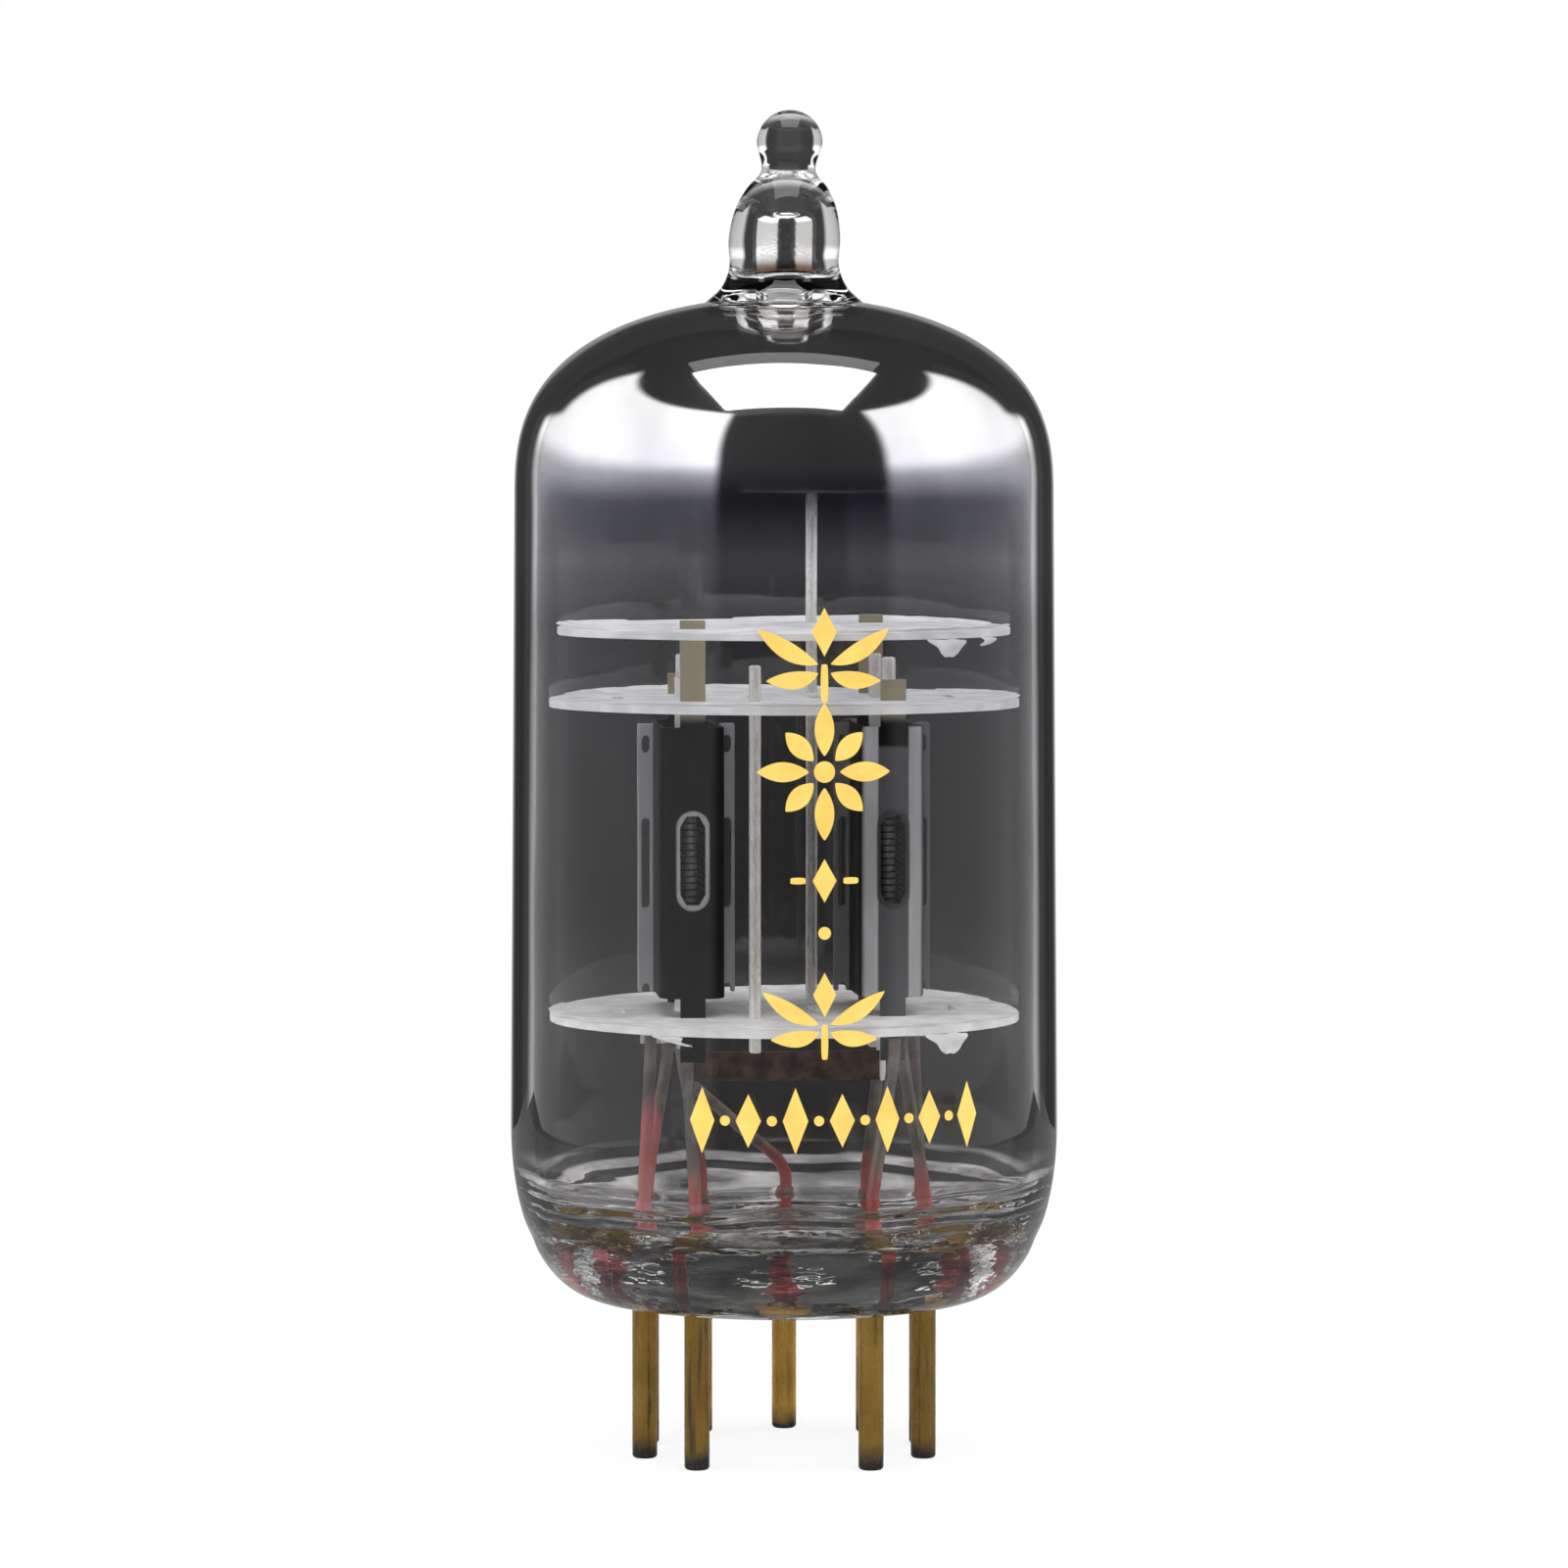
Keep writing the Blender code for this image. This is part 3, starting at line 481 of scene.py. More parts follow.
@dataclass(frozen=True)
class GlassWithPaintedShade(Finish):
    """Clear glass with painted shade: a tint by height darkens the wall in place of dark surroundings
    seen through it, and the glass darkens towards its rims.

    Attributes:
        painted_shade_tints: Heights in millimetres and the share of light that one wall lets through
            there, as painted shade with lighter and darker bands by height.
        rim: How much of the light the rims take away.
        low_rim: The same at the lower bend.
        rim_z: Heights between which the one gives way to the other.
        rings_z: Heights between which the pressed rings set in, downwards.
        painted_glint_bands: How much those rings darken and brighten the glass, as painted glints of
            light refracted in pressed glass.
        pressed: Depth of the rings against that of the drawn streaks.
    """

    painted_shade_tints: tuple[tuple[float, Colour], ...] = (
        (6.2, (0.62, 0.63, 0.59)),
        (7.7, (0.84, 0.85, 0.80)),
        (8.3, (0.34, 0.342, 0.335)),
        (9.7, (0.34, 0.335, 0.335)),
        (10.6, (0.66, 0.65, 0.64)),
        (13.5, (0.60, 0.59, 0.60)),
        (18.0, (0.64, 0.63, 0.64)),
        (22.0, (0.54, 0.53, 0.54)),
        (34.0, (0.54, 0.535, 0.56)),
        (36.5, (0.79, 0.785, 0.84)),
        (39.0, (0.78, 0.78, 0.83)),
        (41.5, (0.84, 0.84, 0.85)),
        (45.3, (0.88, 0.88, 0.88)),
        (47.4, (0.93, 0.93, 0.93)),
        (54.6, (0.97, 0.97, 0.97)),
    )
    rim: float = 0.42
    low_rim: float = 0.9
    rim_z: tuple[float, float] = (11.0 * MM, 14.0 * MM)
    rings_z: tuple[float, float] = (12.2 * MM, 9.6 * MM)
    painted_glint_bands: tuple[float, float] = (-0.7, 0.8)
    pressed: float = 13.0

    def paint(self, sketch: Sketch, shader: bpy.types.Node) -> None:
        """Painted shade by height, darkening by how steeply the surface turns away, and painted glints
        from pressed rings low down.

        Args:
            sketch: The material's tree.
            shader: Its Principled BSDF.
        """
        spot = sketch.place()
        _, _, height = sketch.split(spot)
        low, high = self.painted_shade_tints[0][0], self.painted_shade_tints[-1][0]
        share = sketch.share(height, low * MM, (high - low) * MM)
        stops = [((level - low) / (high - low), colour) for level, colour in self.painted_shade_tints]
        # Painted shade: the tint darkens what is seen through the glass in place of dark surroundings,
        # lighter and darker by height.
        tint = sketch.ramp(share, stops)
        smear = sketch.span(sketch.noise(spot, 260.0, 2.0, (1.0, 1.0, 0.25)), 0.3, 0.75, 1.04, 0.86)
        tint = sketch.scaled(tint, smear)
        weight = sketch.add("ShaderNodeLayerWeight")
        weight.inputs["Blend"].default_value = 0.5
        sharpness = sketch.span(height, 45.0 * MM, 48.0 * MM, 3.0, 1.5)
        edge = sketch.calc("POWER", weight.outputs["Facing"], sharpness)
        rim = sketch.span(height, *self.rim_z, self.low_rim, self.rim)
        keep = sketch.calc("SUBTRACT", 1.0, sketch.calc("MULTIPLY", edge, rim))
        colour = sketch.scaled(tint, keep)
        # Painted glints: the rings brighten and darken the tint low down, like light refracted in pressed
        # glass, and they also bump the surface.
        rings = sketch.noise(spot, 700.0, 3.0, (0.45, 0.45, 1.6))
        low = sketch.span(height, *self.rings_z)
        painted_glint_bands = sketch.calc("MULTIPLY", low, sketch.span(rings, 0.38, 0.62, *self.painted_glint_bands))
        colour = sketch.scaled(colour, sketch.calc("ADD", 1.0, painted_glint_bands))
        sketch.put(shader.inputs["Base Color"], colour)
        shader.inputs["IOR"].default_value = 1.5
        shader.inputs["Transmission Weight"].default_value = 1.0
        bump = sketch.add("ShaderNodeBump")
        bump.inputs["Strength"].default_value = 0.12
        bump.inputs["Distance"].default_value = 0.1 * MM
        drawn = sketch.noise(spot, 330.0, 1.0, (1.0, 1.0, 0.4))
        pressed = sketch.calc("MULTIPLY", rings, sketch.calc("MULTIPLY", low, self.pressed))
        sketch.put(bump.inputs["Height"], sketch.calc("ADD", drawn, pressed))
        sketch.put(shader.inputs["Normal"], bump.outputs[0])
        self.let_light_through(sketch, shader, (1.0, 1.0, 1.0))


@dataclass(frozen=True)
class GetterFilm(Finish):
    """Silvery film that fades to smoky blue below, with a brown ring and a dark crown above.

    Attributes:
        colours: Heights in millimetres and the film's colour there.
        cover: Heights in millimetres and how much the film covers there.
    """

    colours: tuple[tuple[float, Colour], ...] = (
        (36.6, (0.03, 0.028, 0.035)),
        (37.8, (0.075, 0.075, 0.11)),
        (38.9, (0.14, 0.14, 0.20)),
        (39.5, (0.50, 0.50, 0.56)),
        (40.3, (0.93, 0.93, 0.94)),
        (44.9, (0.95, 0.94, 0.93)),
        (45.08, (0.45, 0.24, 0.20)),
        (45.2, (0.03, 0.027, 0.028)),
        (47.0, (0.02, 0.019, 0.02)),
    )
    cover: tuple[tuple[float, float], ...] = (
        (36.4, 0.0),
        (37.4, 0.12),
        (38.4, 0.30),
        (39.2, 0.60),
        (39.8, 0.96),
        (45.0, 1.0),
        (45.4, 1.0),
        (46.2, 0.98),
        (46.7, 0.5),
    )

    def paint(self, sketch: Sketch, shader: bpy.types.Node) -> None:
        """Colour and cover by height, with a ragged lower edge.

        Args:
            sketch: The material's tree.
            shader: Its Principled BSDF.
        """
        spot = sketch.place()
        _, _, height = sketch.split(spot)
        cloud = sketch.calc("SUBTRACT", sketch.noise(spot, 250.0, 4.0), 0.5)
        ragged = sketch.calc("ADD", height, sketch.calc("MULTIPLY", cloud, 0.35 * MM))
        low, high = self.cover[0][0], self.colours[-1][0]
        reach = (high - low) * MM
        plain = sketch.share(height, low * MM, reach)
        rough = sketch.share(ragged, low * MM, reach)
        is_high = sketch.span(height, 42.0 * MM, 43.0 * MM)
        share = sketch.calc(
            "ADD",
            sketch.calc("MULTIPLY", plain, is_high),
            sketch.calc("MULTIPLY", rough, sketch.calc("SUBTRACT", 1.0, is_high)),
        )
        tone = sketch.ramp(share, [((z - low) / (high - low), c) for z, c in self.colours])
        cover = sketch.ramp(share, [((z - low) / (high - low), (a, a, a)) for z, a in self.cover])
        sketch.put(shader.inputs["Base Color"], tone)
        sketch.put(shader.inputs["Alpha"], cover)
        shader.inputs["Metallic"].default_value = 1.0
        bump = sketch.add("ShaderNodeBump")
        bump.inputs["Strength"].default_value = 0.1
        bump.inputs["Distance"].default_value = 0.1 * MM
        sketch.put(bump.inputs["Height"], sketch.noise(spot, 300.0, 1.0))
        sketch.put(shader.inputs["Normal"], bump.outputs[0])
        self.let_light_through(sketch, shader, (1.0, 1.0, 1.0))


@dataclass(frozen=True)
class Metal(Finish):
    """Bare or plated metal with a mingled tone and a fine grain.

    Attributes:
        one: One of its two tones.
        other: The other tone.
        tone_scale: Clouds of tone to the metre.
        grain_scale: Grains to the metre.
        grain_depth: Depth of the grain.
        metallic: Metallic value.
        specular: How much of a plain gloss it has where it isn't metal.
        drawn: Whether the grain is drawn out along Z, as on rods and pins.
    """

    one: Colour = (0.6, 0.6, 0.6)
    other: Colour = (0.5, 0.5, 0.5)
    tone_scale: float = 900.0
    grain_scale: float = 9000.0
    grain_depth: float = 0.25
    metallic: float = 1.0
    specular: float = 0.5
    drawn: bool = True

    def paint(self, sketch: Sketch, shader: bpy.types.Node) -> None:
        """Mingled tone and grain.

        Args:
            sketch: The material's tree.
            shader: Its Principled BSDF.
        """
        spot = sketch.place()
        tone = self.tone(sketch, spot)
        sketch.put(shader.inputs["Base Color"], tone)
        shader.inputs["Metallic"].default_value = self.metallic
        shader.inputs["Specular IOR Level"].default_value = self.specular
        mapping = sketch.add("ShaderNodeMapping")
        mapping.inputs["Scale"].default_value = (1.0, 1.0, 0.12 if self.drawn else 1.0)
        sketch.put(mapping.inputs["Vector"], spot)
        grain = sketch.use(
            effects.grain, Vector=mapping.outputs[0], Scale=self.grain_scale, Depth=self.grain_depth
        )
        sketch.put(shader.inputs["Normal"], grain.outputs["Normal"])
        spread = sketch.span(grain.outputs["Value"], 0.3, 0.7, self.roughness * 0.8, self.roughness * 1.3)
        sketch.put(shader.inputs["Roughness"], spread)

    def tone(self, sketch: Sketch, spot: Any) -> bpy.types.NodeSocket:
        """The metal's colour over the surface.

        Args:
            sketch: The material's tree.
            spot: Object coordinates.

        Returns:
            The colour.
        """
        clouds = sketch.use(
            effects.clouds, Vector=spot, Scale=self.tone_scale, One=self.one, Other=self.other
        )
        return clouds.outputs["Color"]


@dataclass(frozen=True)
class PlatedPin(Metal):
    """Gold plate that is worn and dark at the pin's end, with painted light that makes the rear pins
    brighter.

    Attributes:
        worn: Colour of the worn end.
        worn_height: Height at which the wear has gone.
        rear: How many times brighter the gold of the rear pins is painted, as painted light.
        painted_light_y: Places along Y between which that painted light grows.
    """

    worn: Colour = (0.035, 0.032, 0.03)
    worn_height: float = 1.1 * MM
    rear: float = 2.0
    painted_light_y: tuple[float, float] = (1.0 * MM, 5.0 * MM)

    def tone(self, sketch: Sketch, spot: Any) -> bpy.types.NodeSocket:
        """Gold with painted light that makes it brighter at the rear, with wear rising from the end and a
        few dark streaks.

        Args:
            sketch: The material's tree.
            spot: Object coordinates.

        Returns:
            The colour.
        """
        _, along, _ = sketch.split(spot)
        # Painted light: the gold of the rear pins is made brighter.
        bright = sketch.span(along, *self.painted_light_y, 1.0, self.rear)
        gold = sketch.scaled(super().tone(sketch, spot), bright)
        fade = sketch.use(
            effects.edge_fade,
            Vector=spot,
            **{"Full": 0.2 * MM, "None": self.worn_height, "Ragged": 1.2 * MM},
        )
        streak = sketch.span(sketch.noise(spot, 2600.0, 3.0, (1.0, 1.0, 0.08)), 0.52, 0.72, 0.0, 0.8)
        mask = sketch.calc("MAXIMUM", fade.outputs["Mask"], streak)
        return sketch.blend(mask, gold, self.worn)


@dataclass(frozen=True)
class BoreFilm(Metal):
    """Silvery film in the tip's bore, brown along its lower edge.

    Attributes:
        brown: Colour of the lower edge.
        brown_top: Height at which the brown ends.
    """

    brown: Colour = (0.30, 0.20, 0.14)
    brown_top: float = 48.6 * MM

    def tone(self, sketch: Sketch, spot: Any) -> bpy.types.NodeSocket:
        """Silver, with brown rising from the lower edge.

        Args:
            sketch: The material's tree.
            spot: Object coordinates.

        Returns:
            The colour.
        """
        silver = super().tone(sketch, spot)
        _, _, height = sketch.split(spot)
        is_low = sketch.span(height, self.brown_top, self.brown_top - 0.5 * MM)
        return sketch.blend(is_low, silver, self.brown)


@dataclass(frozen=True)
class CladLead(Metal):
    """Copper-clad wire: red where it leaves the glass, and bare nickel above.

    Attributes:
        red: Colour of the cladding.
        pale: Its colour on the two leads at the far left, which is painted light.
        far_left: Places along X between which a lead comes to count as one of those.
        red_top: Height at which the cladding ends.
        longer: How much higher it ends on the leads at the far left.
        sunk: Colour of the cladding where glass has fused to it.
        glass_top: Height up to which it is sunk in glass.
    """

    red: Colour = (0.40, 0.07, 0.065)
    pale: Colour = (0.60, 0.20, 0.20)
    far_left: tuple[float, float] = (-4.6 * MM, -5.4 * MM)
    red_top: float = 12.0 * MM
    longer: float = 2.6 * MM
    sunk: Colour = (0.07, 0.02, 0.02)
    glass_top: float = 9.6 * MM

    def tone(self, sketch: Sketch, spot: Any) -> bpy.types.NodeSocket:
        """Red cladding that gives way to nickel, with painted light that makes it paler on the two leads
        at the far left.

        Args:
            sketch: The material's tree.
            spot: Object coordinates.

        Returns:
            The colour.
        """
        nickel = super().tone(sketch, spot)
        across, _, height = sketch.split(spot)
        is_left = sketch.span(across, *self.far_left)
        longer = sketch.calc("MULTIPLY", is_left, self.longer)
        # Painted light: the two leads at the far left get a paler red.
        red = sketch.blend(is_left, self.red, self.pale)
        fade = sketch.use(
            effects.edge_fade,
            Vector=spot,
            **{
                "Full": sketch.calc("ADD", longer, self.red_top - 1.0 * MM),
                "None": sketch.calc("ADD", longer, self.red_top + 0.4 * MM),
                "Ragged": 1.5 * MM,
            },
        )
        colour = sketch.blend(fade.outputs["Mask"], nickel, red)
        fused = sketch.span(height, self.glass_top, self.glass_top - 0.8 * MM)
        return sketch.blend(fused, colour, self.sunk)


@dataclass(frozen=True)
class CarbonisedSheet(Metal):
    """Sooty nickel sheet with khaki tabs and paler wings, whose end wall, window strip, window rim and
    wings carry painted light and shade.

    Attributes:
        wing: Colour of the crimped wings: paler metal, with its tone on each triode partly painted light
            and shade.
        tab: Colour of the tabs above the shell.
        painted_end_wall: Colour of the end wall that the window is in, painted light on the one triode
            and painted shade on the other.
        punched_rim_and_light: Colour round the window: bare punched metal, with its tone on each triode
            partly painted light and shade.
        strip: Painted shade on the strip of the end wall that the window is in.
        notch: Colour of that strip's upper end.
        notch_z: Heights between which the notch sets in.
        end_wall: How far from the middle the end wall starts and is whole.
        turn: How far the cage is turned in the bulb.
        centre: How far each triode stands from the axis.
        wing_start: How far from its triode's middle a wing starts.
        shell_top: Height of the shell's upper edge.
        window: Height of the window's middle, its half height and its half width.
    """

    wing: Colour = (0.48, 0.48, 0.50)
    tab: Colour = (0.40, 0.36, 0.25)
    painted_end_wall: Colour = (0.008, 0.007, 0.008)
    punched_rim_and_light: Colour = (0.45, 0.44, 0.42)
    strip: Colour = (0.008, 0.007, 0.008)
    notch: Colour = (0.003, 0.003, 0.003)
    notch_z: tuple[float, float] = (28.9 * MM, 29.1 * MM)
    end_wall: tuple[float, float] = (3.15 * MM, 3.4 * MM)
    turn: float = CAGE_TURN
    centre: float = 4.0 * MM
    wing_start: float = 1.36 * MM
    shell_top: float = 29.8 * MM
    window: tuple[float, float, float] = (24.45 * MM, 1.85 * MM, 0.5 * MM)

    def tone(self, sketch: Sketch, spot: Any) -> bpy.types.NodeSocket:
        """Soot on the shell, with wings, tabs, end wall, window strip and window rim in their own tones;
        the end wall and strip hold painted light and shade, and the wings and rim are partly painted
        light and shade.

        The distance to the window is that to a slot with round ends:
        sqrt(a^2 + max(|h| - (H - W), 0)^2) - W.

        Args:
            sketch: The material's tree.
            spot: Object coordinates.

        Returns:
            The colour.
        """
        soot = super().tone(sketch, spot)
        mapping = sketch.add("ShaderNodeMapping")
        mapping.inputs["Rotation"].default_value = (0.0, 0.0, -self.turn)
        sketch.put(mapping.inputs["Vector"], spot)
        across, along, height = sketch.split(mapping.outputs[0])
        off = sketch.calc("SUBTRACT", sketch.calc("ABSOLUTE", across), self.centre)
        off = sketch.calc("ABSOLUTE", off)
        is_wing = sketch.span(off, self.wing_start - 0.08 * MM, self.wing_start + 0.05 * MM)
        is_face = sketch.span(sketch.calc("ABSOLUTE", along), *self.end_wall)
        smudge = sketch.span(sketch.noise(spot, 900.0, 3.0, (1.0, 1.0, 0.3)), 0.35, 0.7, 0.75, 1.0)
        # Painted light and shade: the end wall's colour, light on one triode and dark on the other.
        colour = sketch.blend(sketch.calc("MULTIPLY", is_face, smudge), soot, self.painted_end_wall)
        # Painted shade: the strip that the window is in, darker still at its upper end.
        strip = sketch.blend(sketch.span(height, *self.notch_z), self.strip, self.notch)
        is_strip = sketch.calc("MULTIPLY", is_face, sketch.span(off, 0.66 * MM, 0.56 * MM))
        colour = sketch.blend(is_strip, colour, strip)
        # Paler wings, their tone on each triode partly painted light and shade.
        colour = sketch.blend(is_wing, colour, self.wing)
        middle, tall, wide = self.window
        rise = sketch.calc("ABSOLUTE", sketch.calc("SUBTRACT", height, middle))
        rise = sketch.calc("MAXIMUM", sketch.calc("SUBTRACT", rise, tall - wide), 0.0)
        squares = [sketch.calc("MULTIPLY", part, part) for part in (rise, off)]
        squares = sketch.calc("ADD", *squares)
        gap = sketch.calc("SUBTRACT", sketch.calc("SQRT", squares), wide)
        # Rim round the window: bare punched metal, its tone on each triode partly painted light and
        # shade.
        punched_rim_and_light = sketch.calc("MULTIPLY", is_face, sketch.span(gap, 0.20 * MM, 0.10 * MM))
        colour = sketch.blend(punched_rim_and_light, colour, self.punched_rim_and_light)
        above = sketch.span(height, self.shell_top + 0.1 * MM, self.shell_top + 0.7 * MM)
        return sketch.blend(above, colour, self.tab)


@dataclass(frozen=True)
class Coat(Finish):
    """A coating or mineral that isn't metal, with a mingled tone and a grain.

    Attributes:
        one: One of its two tones.
        other: The other tone.
        tone_scale: Clouds of tone to the metre.
        grain_scale: Grains to the metre.
        grain_depth: Depth of the grain.
        specular: How much of a plain gloss it has.
        clear: Share of the light that passes through it.
    """

    one: Colour = (0.8, 0.8, 0.8)
    other: Colour = (0.7, 0.7, 0.7)
    tone_scale: float = 700.0
    grain_scale: float = 8000.0
    grain_depth: float = 0.3
    specular: float = 0.5
    clear: float = 0.0

    def paint(self, sketch: Sketch, shader: bpy.types.Node) -> None:
        """Mingled tone and grain.

        Args:
            sketch: The material's tree.
            shader: Its Principled BSDF.
        """
        spot = sketch.place()
        clouds = sketch.use(
            effects.clouds, Vector=spot, Scale=self.tone_scale, One=self.one, Other=self.other
        )
        sketch.put(shader.inputs["Base Color"], clouds.outputs["Color"])
        grain = sketch.use(
            effects.grain, Vector=spot, Scale=self.grain_scale, Depth=self.grain_depth
        )
        sketch.put(shader.inputs["Normal"], grain.outputs["Normal"])
        shader.inputs["Specular IOR Level"].default_value = self.specular
        if self.clear:
            self.let_light_through(sketch, shader, (1.0, 1.0, 1.0), self.clear)


# Glass whose tint is painted shade.
GLASS_WITH_PAINTED_SHADE = GlassWithPaintedShade("glass_with_painted_shade", 0.0)
GETTER_FILM = GetterFilm("getter_film", 0.06)
BORE_FILM = BoreFilm(
    "bore_film", 0.12, one=(0.95, 0.95, 0.95), other=(0.85, 0.83, 0.81), tone_scale=500.0, drawn=False
)
GOLD_PLATE = PlatedPin(
    "gold_plate",
    0.25,
    one=(0.32, 0.19, 0.036),
    other=(0.20, 0.115, 0.022),
    tone_scale=330.0,
    metallic=0.6,
)
CLAD_LEAD = CladLead(
    "clad_lead", 0.34, one=(0.26, 0.24, 0.22), other=(0.13, 0.12, 0.11), metallic=0.5
)
SOOTY_SHEET = CarbonisedSheet(
    "sooty_sheet",
    0.55,
    one=(0.007, 0.006, 0.007),
    other=(0.015, 0.014, 0.015),
    metallic=0.25,
    specular=0.12,
    grain_depth=0.45,
)
# The right anode's sheet: painted light on its end wall, and painted shade on the strip, the window rim
# and the wings.
ANODE_SHEET_WITH_PAINTED_LIGHT = replace(
    SOOTY_SHEET,
    name="anode_sheet_with_painted_light",
    roughness=0.5,
    wing=(0.22, 0.22, 0.225),
    painted_end_wall=(0.58, 0.58, 0.59),
    punched_rim_and_light=(0.06, 0.06, 0.065),
    strip=(0.11, 0.11, 0.115),
)
BRIGHT_NICKEL = Metal(
    "bright_nickel", 0.26, one=(0.94, 0.92, 0.88), other=(0.82, 0.80, 0.76), metallic=0.45
)
DRAWN_WIRE = Metal(
    "drawn_wire", 0.35, one=(0.06, 0.055, 0.05), other=(0.03, 0.028, 0.025), metallic=0.6, drawn=False
)
# Dark brown in clouds of tone, for the heater link.
DARK_BROWN_STRIP = Metal(
    "dark_brown_strip",
    0.5,
    one=(0.13, 0.085, 0.065),
    other=(0.045, 0.032, 0.028),
    tone_scale=1600.0,
    metallic=0.4,
    drawn=False,
)
HEATED_STEEL = Metal(
    "heated_steel", 0.4, one=(0.34, 0.32, 0.31), other=(0.2, 0.18, 0.17), drawn=False
)
SPLIT_MICA = Coat(
    "split_mica",
    0.6,
    one=(0.96, 0.96, 0.95),
    other=(0.72, 0.73, 0.74),
    tone_scale=750.0,
    grain_scale=3500.0,
    grain_depth=0.5,
    specular=0.15,
    clear=0.8,
)
WHITE_OXIDE = Coat("white_oxide", 0.9, one=(0.84, 0.83, 0.80), other=(0.76, 0.75, 0.71))
WHITE_CERAMIC = Coat("white_ceramic", 0.85, one=(0.82, 0.82, 0.80), other=(0.74, 0.73, 0.70))
GOLD_PRINT = Coat(
    "gold_print",
    0.5,
    one=(0.93, 0.64, 0.145),
    other=(0.86, 0.56, 0.115),
    tone_scale=900.0,
    grain_scale=12000.0,
    grain_depth=0.2,
)


# Surfaces


@dataclass
class Surface:
    """Points on a grid of two parameters.

    Attributes:
        points: Array of rows, columns and the three coordinates.
        rows_meet: Whether the last row joins the first.
        columns_meet: Whether the last column joins the first.
        is_cavity: Whether the faces point inwards, as on the inside of a hollow.
    """

    points: np.ndarray
    rows_meet: bool = False
    columns_meet: bool = True
    is_cavity: bool = False

    def quads(self) -> np.ndarray:
        """Corners of the faces: each grid cell joins its row and column to the next ones.

        Returns:
            An array of four indices for each face.
        """
        rows, columns = self.points.shape[:2]
        row = np.arange(rows if self.rows_meet else rows - 1)
        column = np.arange(columns if self.columns_meet else columns - 1)
        row, column = (part.ravel() for part in np.meshgrid(row, column, indexing="ij"))
        below, beside = (row + 1) % rows, (column + 1) % columns
        corners = (row * columns + column, row * columns + beside)
        corners += (below * columns + beside, below * columns + column)
        return np.stack(corners, axis=1)

    def into(self, work: bmesh.types.BMesh) -> None:
        """Add the surface to a mesh with its poles closed and its faces pointing the right way.

        Args:
            work: The mesh to add to.
        """
        mesh = bpy.data.meshes.new("surface")
        quads = self.quads()
        mesh.vertices.add(self.points.shape[0] * self.points.shape[1])
        mesh.vertices.foreach_set("co", self.points.astype(np.float32).ravel())
        mesh.loops.add(quads.size)
        mesh.loops.foreach_set("vertex_index", quads.astype(np.int32).ravel())
        mesh.polygons.add(len(quads))
        mesh.polygons.foreach_set("loop_start", np.arange(0, quads.size, 4, dtype=np.int32))
        mesh.update(calc_edges=True)
        part = bmesh.new()
        part.from_mesh(mesh)
        bmesh.ops.remove_doubles(part, verts=part.verts, dist=1e-7)
        bmesh.ops.recalc_face_normals(part, faces=part.faces)
        if self.is_cavity:
            bmesh.ops.reverse_faces(part, faces=part.faces)
        part.to_mesh(mesh)
        part.free()
        work.from_mesh(mesh)
        bpy.data.meshes.remove(mesh)


def make_piece(
    name: str,
    surfaces: Sequence[Surface],
    finish: Finish,
    stands_for: Sequence[str] = (),
    sharp: float = 35.0,
) -> bpy.types.Object:
    """One piece of several surfaces, which rides on the tube.

    Args:
        name: The piece's name.
        surfaces: Its surfaces.
        finish: Its finish.
        stands_for: CAD nodes that it replaces.
        sharp: Angle in degrees past which an edge is sharp.

    Returns:
        The piece.
    """
    work = bmesh.new()
    for surface in surfaces:
        surface.into(work)
    mesh = bpy.data.meshes.new(name)
    work.to_mesh(mesh)
    work.free()
    return dress(name, mesh, finish, stands_for, sharp)


def dress(
    name: str,
    mesh: bpy.types.Mesh,
    finish: Finish,
    stands_for: Sequence[str],
    sharp: float,
) -> bpy.types.Object:
    """Make a mesh a piece of the tube.

    Args:
        name: The piece's name.
        mesh: Its mesh, in place.
        finish: Its finish.
        stands_for: CAD nodes that it replaces.
        sharp: Angle in degrees past which an edge is sharp.

    Returns:
        The piece.
    """
    mesh.name = name
    mesh.shade_smooth()
    mesh.set_sharp_from_angle(angle=math.radians(sharp))
    mesh.materials.clear()
    mesh.materials.append(finish.material())
    piece = bpy.data.objects.new(name, mesh)
    bpy.context.scene.collection.objects.link(piece)
    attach(piece, "root")
    if stands_for:
        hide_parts(*stands_for)
    log.info("%s: %d faces, stands for %s", name, len(mesh.polygons), ", ".join(stands_for) or "none")
    return piece


def merged_copy(node: str) -> bpy.types.Mesh:
    """A CAD node's mesh with its loose triangles joined and its flat faces made whole.

    Args:
        node: The node's name.

    Returns:
        The new mesh.
    """
    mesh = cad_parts[node].data.copy()
    work = bmesh.new()
    work.from_mesh(mesh)
    bmesh.ops.remove_doubles(work, verts=work.verts, dist=1e-7)
    bmesh.ops.dissolve_limit(
        work, angle_limit=math.radians(0.5), verts=work.verts, edges=work.edges
    )
    work.to_mesh(mesh)
    work.free()
    return mesh


def eased_copy(node: str, finish: Finish, width: float, name: str = "") -> bpy.types.Object:
    """A CAD node again with its edges eased by a fine bevel.

    Args:
        node: The node's name.
        finish: Its finish.
        width: Width of the bevel.
        name: The piece's name, if it isn't the node's with a suffix.

    Returns:
        The piece.
    """
    piece = dress(name or node + "_sheet", merged_copy(node), finish, (node,), 35.0)
    bevel = piece.modifiers.new("eased edges", "BEVEL")
    bevel.width = width
    bevel.segments = 2
    bevel.limit_method = "ANGLE"
    bevel.angle_limit = math.radians(35.0)
    bevel.harden_normals = True
    return piece


